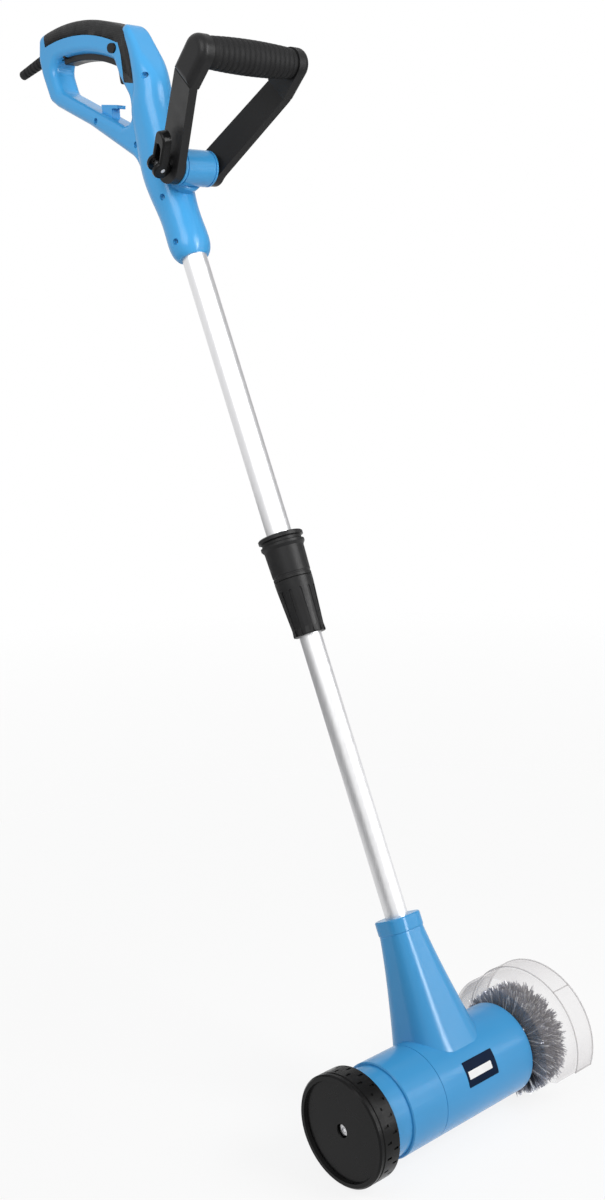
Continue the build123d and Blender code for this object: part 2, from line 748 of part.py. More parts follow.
def collar_body():
    """Fixed half of the twist lock: two rings, a sleeve and the spigot inside the nut."""
    bore = UPPER_TUBE_R + FIT
    rim = UPPER_TUBE_R + COLLAR_RING_WALL
    wall = UPPER_TUBE_R + COLLAR_WALL
    top = COLLAR_TOP
    split = COLLAR_SPLIT
    return turned_z([(bore, top), (rim - 1.2, top), (rim, top - 1), (rim, top - 4),
                     (rim - 2.5, top - 5), (rim - 2.5, top - 7.5), (rim - 0.5, top - 8.5),
                     (rim - 0.5, top - 11), (wall + 0.4, top - 14), (wall - 0.4, split + 5),
                     (wall - 0.9, split + 4.4), (wall - 0.9, split + 3.4), (wall - 0.5, split + 2.8),
                     (wall - 0.5, split), (SPIGOT_R, split), (SPIGOT_R, SPIGOT_BOTTOM),
                     (bore, SPIGOT_BOTTOM)])


def collar_nut():
    """Tapered twist nut with grip flutes and a scalloped lower end."""
    top = COLLAR_SPLIT - MOVING_GAP
    wide = UPPER_TUBE_R + COLLAR_WALL - 0.5
    narrow = LOWER_TUBE_R + COLLAR_NECK_WALL
    low = COLLAR_BOTTOM
    lip = low + COLLAR_LIP
    hole = LOWER_TUBE_R + MOVING_GAP
    nut = turned_z([(SPIGOT_R + RUN, top), (wide - 0.5, top), (wide, top - 0.6), (wide - 0.3, top - 8),
                    (narrow, low + 7), (narrow + 0.5, low + 1), (narrow, low), (hole, low),
                    (hole, lip), (hole + 2.7, lip + 4), (SPIGOT_R + RUN, SPIGOT_BOTTOM)])
    flute = hull_of(disc(1.6, (0, top - 12)), disc(2.2, (0, low - 3)))
    flute = Plane.YZ * flute
    core = Cone(narrow - FLUTE_DEPTH, wide - FLUTE_DEPTH, top - low)
    cut = extrude(flute, 40) - Pos(0, 0, (top + low) / 2) * core
    for k in range(COLLAR_FLUTES):
        nut -= Rot(0, 0, 360 * k / COLLAR_FLUTES) * cut
    return nut


def collet():
    """Slit ring inside the nut that grips the lower tube."""
    bottom = COLLAR_BOTTOM + COLLAR_LIP
    bore = LOWER_TUBE_R + FIT
    top = SPIGOT_BOTTOM - FIT
    body = turned_z([(bore, bottom + 0.8), (bore + 0.6, bottom + 0.8), (bore + 2.3, bottom + 5),
                     (bore + 2.3, top), (bore, top)])
    return body - Pos(bore, 0, bottom + 5) * Box(20, 1.4, 60)


def lower_tube():
    """Inner tube of the telescopic shaft, seated in the neck."""
    return tube_z(LOWER_TUBE_R, LOWER_BORE_R, TUBE_SEAT, LOWER_TUBE_TOP)


def tube_guide():
    """Bush on the lower tube's top end that runs inside the upper tube."""
    top = LOWER_TUBE_TOP
    plug = LOWER_BORE_R - FIT
    head = UPPER_BORE_R - RUN
    return turned_z([(plug - 1.5, top - 14), (plug, top - 14), (plug, top + FIT), (head, top + FIT),
                     (head, top + 10), (plug - 1.5, top + 10)])


# Motor head

def neck():
    """Tapered socket with round corners that flares from the tube into the barrel."""
    half = LOWER_TUBE_R + NECK_WALL
    # Each station: height, half depth along X, half width along Y, corner radius.
    stations = [(20, 37, 41, 29),
                (BARREL_R + 14.5, 29, 32, 21),
                (100, half + 5, half + 7, 16.5),
                (NECK_TOP - NECK_LIP, half + 0.6, half + 1.8, 13),
                (NECK_TOP, half - 0.4, half + 0.6, 12.5)]
    sections = []
    for z, x, y, corner in stations:
        sections.append(Plane.XY.offset(z) * RectangleRounded(2 * x, 2 * y, corner))
    socket = loft(sections)
    band = Plane.XY.offset(NECK_TOP - NECK_LIP) * RectangleRounded(2 * half + 2.6, 2 * half + 4.8, 13.5)
    lip = extrude(band, NECK_LIP)
    lip = fillet(lip.edges().group_by(Axis.Z)[-1] + lip.edges().group_by(Axis.Z)[0], 1.5)
    return socket + lip


def motor_housing():
    """Barrel and neck in one moulding."""
    barrel = rod(BARREL_R, BARREL_START, BARREL_END)
    barrel = fillet(barrel.edges().group_by(Axis.Y)[-1], 3)
    housing = barrel + neck()
    housing -= rod(BORE_R, BARREL_START - 1, BARREL_END + 1)
    housing -= rod_z(LOWER_TUBE_R + FIT, TUBE_SEAT, NECK_TOP + 10)
    return housing - rod_z(7, BORE_R - 10, TUBE_SEAT + 10)


def end_cover():
    """Cap on the wheel end, with a smaller step, a spigot in the barrel and the axle's boss."""
    inside = BORE_R - COVER_WALL
    step = BARREL_R - COVER_STEP_IN
    seat = REAR_BEARING_R + FIT
    pocket = REAR_BEARING_Y + BEARING_WIDTH
    floor = COVER_STEP + COVER_WALL
    cover = turned_y([(0, COVER_END), (step - 3, COVER_END), (step, COVER_END + 3), (step, COVER_STEP),
                      (BARREL_R - 1, COVER_STEP), (BARREL_R, COVER_STEP + 1),
                      (BARREL_R, BARREL_START - 0.6), (BARREL_R - 0.6, BARREL_START),
                      (BORE_R - FIT, BARREL_START), (BORE_R - FIT, BARREL_START + 6),
                      (inside, BARREL_START + 6), (inside, floor), (seat + 4, floor), (seat + 4, pocket),
                      (seat, pocket), (seat, REAR_BEARING_Y), (0, REAR_BEARING_Y)])
    boss = rod(BOSS_R, WHEEL_INNER + MOVING_GAP, COVER_END + 1)
    return cover + boss - rod(AXLE_R + FIT, WHEEL_INNER - 1, AXLE_TIP)


def bearing(outer, inner, y0):
    """Ball bearing as one ring with a groove between its races on each face."""
    y1 = y0 + BEARING_WIDTH
    low = inner + (outer - inner) / 3
    high = outer - (outer - inner) / 3
    deep = BEARING_GROOVE
    return turned_y([(inner, y0), (low, y0), (low, y0 + deep), (high, y0 + deep), (high, y0),
                     (outer, y0), (outer, y1), (high, y1), (high, y1 - deep), (low, y1 - deep),
                     (low, y1), (inner, y1)])


def field_stack():
    """Laminated stator with two pole shoes."""
    outer = BORE_R - FIT
    yoke = ring(outer, outer - YOKE, CORE_START, CORE_END)
    pole = Box(2 * outer - 8, CORE_END - CORE_START, POLE_WIDTH)
    poles = Pos(0, (CORE_START + CORE_END) / 2, 0) * pole & rod(outer - 2, CORE_START, CORE_END)
    return yoke + poles - rod(CORE_R + AIR_GAP, CORE_START - 1, CORE_END + 1)


def field_coils():
    """Two field windings, one over each side of the poles."""
    outer = BORE_R - FIT - YOKE - 0.4
    inner = CORE_R + AIR_GAP + 2
    length = CORE_END - CORE_START
    middle = (CORE_START + CORE_END) / 2
    coils = []
    for side in (-1, 1):
        wound = Pos(0, middle, side * (inner + outer) / 2 * 0.7) * Box(30, length + 12, 9)
        wound = fillet(wound.edges().filter_by(Axis.Z), 4)
        wound &= ring(outer, inner, CORE_START - 20, CORE_END + 20)
        wound -= Pos(0, middle, 0) * Box(200, length + 0.4, POLE_WIDTH + 0.4)
        coils.append(wound)
    return coils


def armature_shaft():
    """Motor shaft, stepped down for the pinion."""
    start = REAR_BEARING_Y + 0.3
    step = GEAR_START - FIT
    return turned_y([(0, start), (SHAFT_R, start), (SHAFT_R, step), (SHAFT_TIP_R, step),
                     (SHAFT_TIP_R, GEAR_END), (0, GEAR_END)])


def armature_core():
    """Slotted core with the windings' overhang at each end."""
    length = CORE_END - CORE_START
    core = ring(CORE_R, SHAFT_R + FIT, CORE_START, CORE_END)
    slot = Pos(CORE_R, (CORE_START + CORE_END) / 2, 0) * Box(6, length + 2, 2)
    for cut in around(slot, CORE_SLOTS):
        core -= cut
    return core + ring(CORE_R - 4, SHAFT_R + FIT, CORE_START - 7, CORE_END + 5)


def commutator():
    """Copper segments that the carbon blocks rub on."""
    body = ring(COMMUTATOR_R, SHAFT_R + FIT, COMMUTATOR_START, COMMUTATOR_END)
    cut = Pos(COMMUTATOR_R, (COMMUTATOR_START + COMMUTATOR_END) / 2, 0) * Box(2, 30, 0.8)
    for gap in around(cut, CORE_SLOTS):
        body -= gap
    return body


def carbon_brushes():
    """Two sprung carbon blocks on the commutator."""
    length = CARBON[0]
    rubbing = rod(COMMUTATOR_R + MOVING_GAP, CARBON_Y - 10, CARBON_Y + 10)
    block = Box(*CARBON)
    middle = COMMUTATOR_R + length / 2
    return [Pos(side * middle, CARBON_Y, 0) * block - rubbing for side in (-1, 1)]


def brush_holders():
    """Two boxes fixed in the end cover that guide the carbon blocks."""
    outer = BORE_R - COVER_WALL - FIT
    length, width, height = CARBON
    start = COMMUTATOR_R + 5
    holders = []
    for side in (-1, 1):
        case = Pos(side * (start + 20), CARBON_Y, 0) * Box(40, width + 4, height + 4)
        case &= rod(outer, CARBON_Y - 10, CARBON_Y + 10)
        guide = Box(length + 2, width + 2 * FIT, height + 2 * FIT)
        holders.append(case - Pos(side * (COMMUTATOR_R + length / 2), CARBON_Y, 0) * guide)
    return holders


def motor_fan():
    """Cooling fan with flat blades on a disc."""
    start = CORE_END + 6
    end = start + FAN_LENGTH
    hub = SHAFT_R + 6
    fan = ring(FAN_R, SHAFT_R + FIT, start, start + 2) + ring(hub, SHAFT_R + FIT, start, end)
    blade = Pos((hub + FAN_R) / 2, start + FAN_LENGTH / 2 + 0.5, 0) * Rot(0, 20, 0)
    blade *= Box(FAN_R - hub, FAN_LENGTH - 2, 1.6)
    for one in around(blade, FAN_BLADES):
        fan += one
    return fan & rod(FAN_R, start, end)


def bearing_plate():
    """Wall between motor and gearbox, with the armature's front bearing in it."""
    seat = FRONT_BEARING_R + FIT
    plate = ring(BORE_R - FIT, seat, FRONT_BEARING_Y + 3, GEAR_START - 2)
    return plate + ring(seat + 4, seat, FRONT_BEARING_Y, FRONT_BEARING_Y + 4)


def gear_outline(teeth, inward, turn):
    """Toothed outline with straight flanks; the teeth point inward on the ring gear."""
    pitch_r = GEAR_MODULE * teeth / 2
    thick = TOOTH_SHARE * pi * GEAR_MODULE
    sign = -1 if inward else 1
    points = []
    for k in range(teeth):
        middle = 2 * pi * k / teeth + radians(turn)
        for level, side in ((-TOOTH_ROOT, -1), (TOOTH_TIP, -1), (TOOTH_TIP, 1), (-TOOTH_ROOT, 1)):
            radius = pitch_r + sign * level * GEAR_MODULE
            half = thick / 2 - TOOTH_LEAN * level * GEAR_MODULE
            angle = middle + side * half / radius
            points.append((radius * cos(angle), radius * sin(angle)))
    return make_face(Polyline(*points, close=True))


def sun_pinion():
    """Motor pinion, a tooth facing the first planet."""
    return slab(gear_outline(SUN_TEETH, False, 0) - Circle(SHAFT_TIP_R + FIT), GEAR_START, GEAR_END)


def planet_places():
    """Angles of the planets on their carrier."""
    return [360 * k / PLANETS for k in range(PLANETS)]


def planet_gear(angle):
    """Planet at its place on the carrier, a tooth gap facing the sun."""
    outline = gear_outline(PLANET_TEETH, False, 180 / PLANET_TEETH + 180) - Circle(PLANET_PIN_R + RUN)
    return Rot(0, -angle, 0) * slab(Pos(ORBIT_R, 0) * outline, GEAR_START + 0.5, GEAR_END - 0.5)


def ring_gear():
    """Fixed internal gear, seated in the barrel against the bearing plate."""
    rim = Circle(BORE_R - FIT) - gear_outline(RING_TEETH, True, 180 / RING_TEETH)
    return slab(rim, GEAR_START - 2, GEAR_END)


def planet_rods(radius, y0, y1):
    """Round bars at the planets' places."""
    return [Rot(0, -angle, 0) * rod(radius, y0, y1, (ORBIT_R, 0)) for angle in planet_places()]


def spindle():
    """Output spindle with the planet carrier in one forging."""
    rim = ORBIT_R + CARRIER_RIM
    web = CARRIER_START + CARRIER_THICK
    shoulder = SPINDLE_R + SPINDLE_SHOULDER
    seat = SPINDLE_BEARING_Y - FIT
    end = BRUSH_END + 13
    forging = turned_y([(0, CARRIER_START), (rim, CARRIER_START), (rim, web), (shoulder, web),
                        (shoulder, seat), (SPINDLE_R, seat), (SPINDLE_R, end - 1), (SPINDLE_R - 1, end),
                        (0, end)])
    for hole in planet_rods(PLANET_PIN_R + FIT, GEAR_END, web + 2):
        forging -= hole
    return forging


def planet_pins():
    """Pins pressed into the carrier that the planets turn on."""
    return planet_rods(PLANET_PIN_R, GEAR_START + 0.2, CARRIER_START + CARRIER_THICK)


def guard_screw_bars(radius, y0, y1):
    """Round bars at the guard's screw places."""
    return [rod(radius, y0, y1, polar(a, GUARD_SCREW_CIRCLE, (0, 0))) for a in (20, 90, 160)]


def gearbox_cover():
    """Closing cover with the spindle's bearing, the seal and the guard's seat."""
    start = GEAR_END + 0.1
    inside = ORBIT_R + CARRIER_RIM + 1.0
    seat = SPINDLE_BEARING_R + FIT
    stop = SPINDLE_BEARING_Y + BEARING_WIDTH
    ledge = SPINDLE_BEARING_Y - 1.4
    hub = GUARD_HOLE_R - FIT
    face = GUARD_START - GUARD_SEAT
    end = GUARD_START + GUARD_SEAT
    cover = turned_y([(BORE_R - FIT, start), (BORE_R - FIT, face), (hub, face), (hub, end),
                      (SEAL_R + FIT, end), (SEAL_R + FIT, SEAL_Y), (SEAL_R - 2, SEAL_Y),
                      (SEAL_R - 2, stop), (seat, stop), (seat, ledge), (inside, ledge),
                      (inside, start)])
    for hole in guard_screw_bars(GUARD_SCREW_R + FIT, GUARD_START - 12, GUARD_START + 8):
        cover -= hole
    return cover


def spindle_seal():
    """Lip seal round the spindle."""
    return ring(SEAL_R, SPINDLE_R + RUN, SEAL_Y + FIT, GUARD_START + 2.5)


def guard():
    """Clear hood over the brush: an annular wall, then a drum in two steps, open below."""
    near = GUARD_R - GUARD_STEP
    wall = GUARD_WALL
    start = GUARD_START
    step = GUARD_MIDDLE
    bevel = GUARD_BEVEL
    plug = BORE_R - 1
    drum = turned_y([(GUARD_HOLE_R, start - GUARD_SEAT), (plug, start - GUARD_SEAT), (plug, start),
                     (near - bevel, start), (near, start + bevel), (near, step), (GUARD_R, step + 1),
                     (GUARD_R, GUARD_END), (GUARD_R - wall, GUARD_END),
                     (GUARD_R - wall, step + 1 + wall), (near - wall, step + wall),
                     (near - wall, start + bevel + wall / 2),
                     (near - bevel - wall / 2, start + wall), (GUARD_HOLE_R, start + wall)])
    mouth = [(0, 0)]
    for angle in (GUARD_REAR_ANGLE, 250, 290, 360 + GUARD_FRONT_ANGLE):
        mouth.append(polar(angle - LEAN, 2 * GUARD_R, (0, 0)))
    flange = ring(plug, 1, start - 20, start + wall)
    drum -= slab(make_face(Polyline(*mouth, close=True)), start - 10, GUARD_END + 10) - flange
    for hole in guard_screw_bars(GUARD_SCREW_R + 2 * FIT, start - 12, start + 8):
        drum -= hole
    return drum


def guard_screws():
    """Three screws that hold the guard on the gearbox cover."""
    seat = GUARD_START + GUARD_WALL
    heads = guard_screw_bars(GUARD_SCREW_HEAD_R, seat, seat + 2.2)
    shanks = guard_screw_bars(GUARD_SCREW_R, GUARD_START - 10, seat)
    return [head + shank for head, shank in zip(heads, shanks)]


def brush_hub():
    """Steel core of the wire brush with two clamping flanges."""
    bore = SPINDLE_R + FIT
    flange = SPINDLE_R + 8
    rim = BRUSH_HUB_R - FIT
    low = BRUSH_START - BRUSH_FLANGE
    high = BRUSH_END + BRUSH_FLANGE
    return turned_y([(bore, low), (flange, low), (flange, BRUSH_START), (rim, BRUSH_START),
                     (rim, BRUSH_END), (flange, BRUSH_END), (flange, high), (bore, high)])


def strand(angle, y, row):
    """One wire of three sides, from inside the backing ring out to the brush's rim."""
    base = BRUSH_HUB_R + 1.0
    tip = BRUSH_R - 0.75 * ((row * 5 + int(angle)) % 3)
    wire = Plane.XY.offset(base) * RegularPolygon(STRAND_SIDE / 3 ** 0.5, 3)
    return Pos(0, y, 0) * Rot(0, angle, 0) * extrude(wire, tip - base)


def bristles():
    """Backing ring with rows of wires, alternate rows set half a step round."""
    backing = ring(BRUSH_HUB_R + BRUSH_BACKING, BRUSH_HUB_R, BRUSH_START, BRUSH_END)
    pitch = (BRUSH_END - BRUSH_START) / STRAND_ROWS
    wires = []
    for row in range(STRAND_ROWS):
        y = BRUSH_START + pitch * (row + 0.5)
        for k in range(STRANDS_PER_ROW):
            angle = 360 * (k + 0.5 * (row % 2)) / STRANDS_PER_ROW
            wires.append(strand(angle, y, row))
    return backing.fuse(*wires)


def brush_nut():
    """Nut that clamps the brush on the spindle."""
    face = BRUSH_END + BRUSH_FLANGE + FIT
    hexagon = extrude(RegularPolygon(SPINDLE_R + 5, 6), 4, both=True)
    nut = Pos(0, face + 4, 0) * Rot(90, 0, 0) * hexagon
    return nut - rod(SPINDLE_R + FIT, face - 1, face + 20)


def wheel():
    """Guide wheel: rimmed outer face, notched tread and a hub on the axle."""
    y0 = WHEEL_OUTER
    y1 = WHEEL_INNER
    face = y0 + WHEEL_SINK
    web = face + WHEEL_WEB
    hub = y1 + MOVING_GAP / 4
    rim = WHEEL_R - WHEEL_RIM
    body = turned_y([(0, face), (rim - 1, face), (rim, y0), (WHEEL_R - 1.5, y0), (WHEEL_R, y0 + 1.5),
                     (WHEEL_R, y0 + 4), (WHEEL_R - 0.8, y0 + 4.6), (WHEEL_R - 0.8, y0 + 5.6),
                     (WHEEL_R, y0 + 6.2), (WHEEL_R, y1 - 1.5), (WHEEL_R - 1.5, y1), (rim, y1),
                     (rim, web), (BOSS_R + 1, web), (BOSS_R + 1, hub), (0, hub)])
    notch = Pos(WHEEL_R, y0 + 11, 0) * Box(2.2, 5, 2.2)
    for cut in around(notch, WHEEL_NOTCHES):
        body -= cut
        body -= Pos(0, 7.5, 0) * Rot(0, 180 / WHEEL_NOTCHES, 0) * cut
    body -= rod(AXLE_HEAD_R + 1.2, y0 - 1, face + AXLE_SINK)
    return body - rod(AXLE_R + RUN, y0, y1 + 5)


def wheel_axle():
    """Shouldered screw that the wheel turns on."""
    floor = WHEEL_OUTER + WHEEL_SINK + AXLE_SINK - RUN
    head = rod(AXLE_HEAD_R, floor - AXLE_HEAD, floor)
    hexagon = extrude(RegularPolygon(2.6, 6), 2, both=True)
    socket = Pos(0, floor - AXLE_HEAD, 0) * Rot(90, 0, 0) * hexagon
    return head - socket + rod(AXLE_R, floor, AXLE_TIP - 0.3)


def handle_pieces():
    """Nodes of both handles, with Z counted from the rear handle's foot."""
    right, left = handle_halves()
    return {
        "handle_shell_right": right,
        "handle_shell_left": left,
        "grip_pad": grip_pad(),
        "trigger": trigger(),
        "trigger_pin": trigger_pin(),
        "trigger_spring": trigger_spring(),
        "lock_button": lock_button(),
        "lock_spring": lock_spring(),
        "switch_case": switch_block(0),
        "cable_sleeve": cable_sleeve(),
        "cord_clamp": cord_clamp(),
        "shell_screws": shell_screws(),
        "pivot_barrel": pivot_barrel(),
        "front_arm_right": arm(-1),
        "front_arm_left": arm(1),
        "front_bridge": front_bridge(),
        "front_grip": front_grip(),
        "pivot_bolt": pivot_bolt(),
        "pivot_nut": pivot_nut(),
        "lever_pin": lever_pin(),
        "cam_lever": cam_lever(),
    }


def shaft_and_head_pieces():
    """Nodes of the telescopic shaft and the motor head, in the shaft frame."""
    named = {
        "upper_tube": upper_tube(),
        "collar_body": collar_body(),
        "collar_nut": collar_nut(),
        "collet": collet(),
        "lower_tube": lower_tube(),
        "tube_guide": tube_guide(),
        "motor_housing": motor_housing(),
        "end_cover": end_cover(),
        "field_stack": field_stack(),
        "field_coils": field_coils(),
        "armature_shaft": armature_shaft(),
        "armature_core": armature_core(),
        "commutator": commutator(),
        "carbon_brushes": carbon_brushes(),
        "brush_holders": brush_holders(),
        "motor_fan": motor_fan(),
        "bearing_plate": bearing_plate(),
        "rear_bearing": bearing(REAR_BEARING_R, SHAFT_R + FIT, REAR_BEARING_Y + 0.2),
        "front_bearing": bearing(FRONT_BEARING_R, SHAFT_R + FIT, FRONT_BEARING_Y + 0.2),
        "spindle_bearing": bearing(SPINDLE_BEARING_R, SPINDLE_R + FIT, SPINDLE_BEARING_Y),
        "sun_pinion": sun_pinion(),
        "ring_gear": ring_gear(),
        "spindle": spindle(),
        "planet_pins": planet_pins(),
        "gearbox_cover": gearbox_cover(),
        "spindle_seal": spindle_seal(),
        "guard": guard(),
        "guard_screws": guard_screws(),
        "brush_hub": brush_hub(),
        "bristles": bristles(),
        "brush_nut": brush_nut(),
        "wheel": wheel(),
        "wheel_axle": wheel_axle(),
    }
    for number, angle in enumerate(planet_places(), 1):
        named[f"planet_gear_{number}"] = planet_gear(angle)
    return named


def solids_of(shape):
    """All solids of a piece, or of a group of pieces."""
    shapes = shape if isinstance(shape, list) else [shape]
    return [solid for item in shapes for solid in item.solids()]


def main():
    os.makedirs("parts", exist_ok=True)
    groups = {name: solids_of(shape) for name, shape in shaft_and_head_pieces().items()}
    for name, shape in handle_pieces().items():
        groups[name] = [raised(solid) for solid in solids_of(shape)]
    for name, solids in groups.items():
        moved = [placed(solid) for solid in solids]
        export_step(Compound(moved) if len(moved) > 1 else moved[0], f"parts/{name}.step")


if __name__ == "__main__":
    main()
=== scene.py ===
"""Looks of the electric joint cleaner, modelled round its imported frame."""

import json
import math
import random

import bpy
from mathutils import Matrix, Vector


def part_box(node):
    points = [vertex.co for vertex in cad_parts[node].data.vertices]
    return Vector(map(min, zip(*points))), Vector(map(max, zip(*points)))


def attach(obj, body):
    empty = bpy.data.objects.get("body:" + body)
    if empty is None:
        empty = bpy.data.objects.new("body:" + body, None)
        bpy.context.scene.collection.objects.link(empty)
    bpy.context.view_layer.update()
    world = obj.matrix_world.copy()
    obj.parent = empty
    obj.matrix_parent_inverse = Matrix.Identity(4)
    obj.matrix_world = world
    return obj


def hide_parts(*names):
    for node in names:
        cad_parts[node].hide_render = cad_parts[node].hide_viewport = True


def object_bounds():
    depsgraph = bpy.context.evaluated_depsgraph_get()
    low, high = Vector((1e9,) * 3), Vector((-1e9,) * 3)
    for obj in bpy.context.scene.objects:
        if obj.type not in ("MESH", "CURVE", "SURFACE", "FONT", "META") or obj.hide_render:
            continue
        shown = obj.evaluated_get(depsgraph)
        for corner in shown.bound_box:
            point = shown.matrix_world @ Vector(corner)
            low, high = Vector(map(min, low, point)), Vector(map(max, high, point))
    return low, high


bl_info = {
    "name": "Joint Cleaner Looks",
    "version": (1, 0, 0),
    "blender": (4, 5, 0),
    "location": "View3D > Sidebar > Joint Cleaner",
    "description": "Finishes, brush, grips, plate and studio of an electric joint cleaner",
    "category": "Object",
}

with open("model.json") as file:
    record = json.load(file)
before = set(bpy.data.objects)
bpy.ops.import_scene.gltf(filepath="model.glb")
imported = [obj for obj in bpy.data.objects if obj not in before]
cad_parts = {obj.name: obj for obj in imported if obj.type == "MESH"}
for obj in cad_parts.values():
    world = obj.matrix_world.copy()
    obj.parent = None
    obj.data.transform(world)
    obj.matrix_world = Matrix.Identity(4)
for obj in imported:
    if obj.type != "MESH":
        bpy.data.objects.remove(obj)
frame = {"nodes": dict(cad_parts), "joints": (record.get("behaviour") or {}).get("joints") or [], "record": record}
CAD_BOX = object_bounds()

MM = 0.001
WELD = 0.01 * MM    # points that are nearer than this become one
JOINTS = {joint["name"]: joint for joint in frame["joints"]}
SLOT_OF = {part["node"]: part["material_slot"] for part in frame["record"]["subparts"]}
SHAFT_UP = Vector(JOINTS["shaft_slide"]["axis"])
LEAN = math.degrees(math.atan2(-SHAFT_UP.x, SHAFT_UP.z))
HEAD_AT = Vector(JOINTS["brush_spin"]["pos_m"])


def middle(node):
    """Middle of a node's box."""
    low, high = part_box(node)
    return (low + high) / 2


def span(node):
    """Size of a node's box."""
    low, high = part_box(node)
    return high - low


# Sizes and colours that a user would change

COLOUR = {"subtype": "COLOR", "size": 3, "min": 0, "max": 1}


class JointCleanerColours(bpy.types.PropertyGroup):
    """Colours of the finishes."""
    shell_blue: bpy.props.FloatVectorProperty(
        name="Shell blue", description="Moulded housings",
        default=(0.056, 0.340, 0.690), **COLOUR)
    moulded_black: bpy.props.FloatVectorProperty(
        name="Moulded black", description="Hard black plastic",
        default=(0.012, 0.012, 0.0125), **COLOUR)
    soft_black: bpy.props.FloatVectorProperty(
        name="Soft black", description="Grip rubber",
        default=(0.012, 0.012, 0.0125), **COLOUR)
    tube_silver: bpy.props.FloatVectorProperty(
        name="Tube silver", description="Drawn aluminium tubes",
        default=(0.72, 0.72, 0.73), **COLOUR)
    steel: bpy.props.FloatVectorProperty(
        name="Steel", description="Screws, shafts and gears",
        default=(0.55, 0.55, 0.56), **COLOUR)
    # The brush wires run from this dark grey at their roots to the paler tip colour below. This is painted shade
    # that darkens them towards the hub, on top of their own dark grey.
    wire_grey: bpy.props.FloatVectorProperty(
        name="Wire grey", description="Brush wires up to their tips",
        default=(0.036, 0.041, 0.054), **COLOUR)
    wire_lit_tip: bpy.props.FloatVectorProperty(
        name="Wire tip", description="Paler tips of the brush wires",
        default=(0.38, 0.39, 0.45), **COLOUR)
    copper: bpy.props.FloatVectorProperty(
        name="Copper", description="Windings",
        default=(0.62, 0.30, 0.14), **COLOUR)
    plate_navy: bpy.props.FloatVectorProperty(
        name="Plate navy", description="Border of the blank plate",
        default=(0.0015, 0.010, 0.034), **COLOUR)


class JointCleanerSizes(bpy.types.PropertyGroup):
    """Sizes of the pieces that are modelled here."""
    plate_length: bpy.props.FloatProperty(
        name="Plate length", description="Along the barrel", unit="LENGTH", default=39.5 * MM)
    plate_height: bpy.props.FloatProperty(
        name="Plate height", description="Round the barrel", unit="LENGTH", default=23.0 * MM)
    plate_angle: bpy.props.FloatProperty(
        name="Plate angle", description="Up from the front of the barrel", subtype="ANGLE",
        default=math.radians(29))
    plate_at: bpy.props.FloatProperty(
        name="Plate place", description="Along the head from the shaft", unit="LENGTH",
        default=5 * MM)
    tufts: bpy.props.IntProperty(
        name="Tufts", description="Tufts in one sixth of the brush", default=44)
    tuft_wires: bpy.props.IntProperty(
        name="Tuft wires", description="Wires in one tuft", default=22)
    wire_radius: bpy.props.FloatProperty(
        name="Wire radius", description="Of one brush wire", unit="LENGTH", default=0.42 * MM)
    grip_rings: bpy.props.IntProperty(
        name="Grip rings", description="Rings moulded round the front grip", default=15)


# Finishes

PATTERN_SPAN = (0.3, 0.7)    # where most values of a pattern lie
FACING_SPAN = (0.35, 1.0)    # from a wall turned about 50 degrees away to its very edge


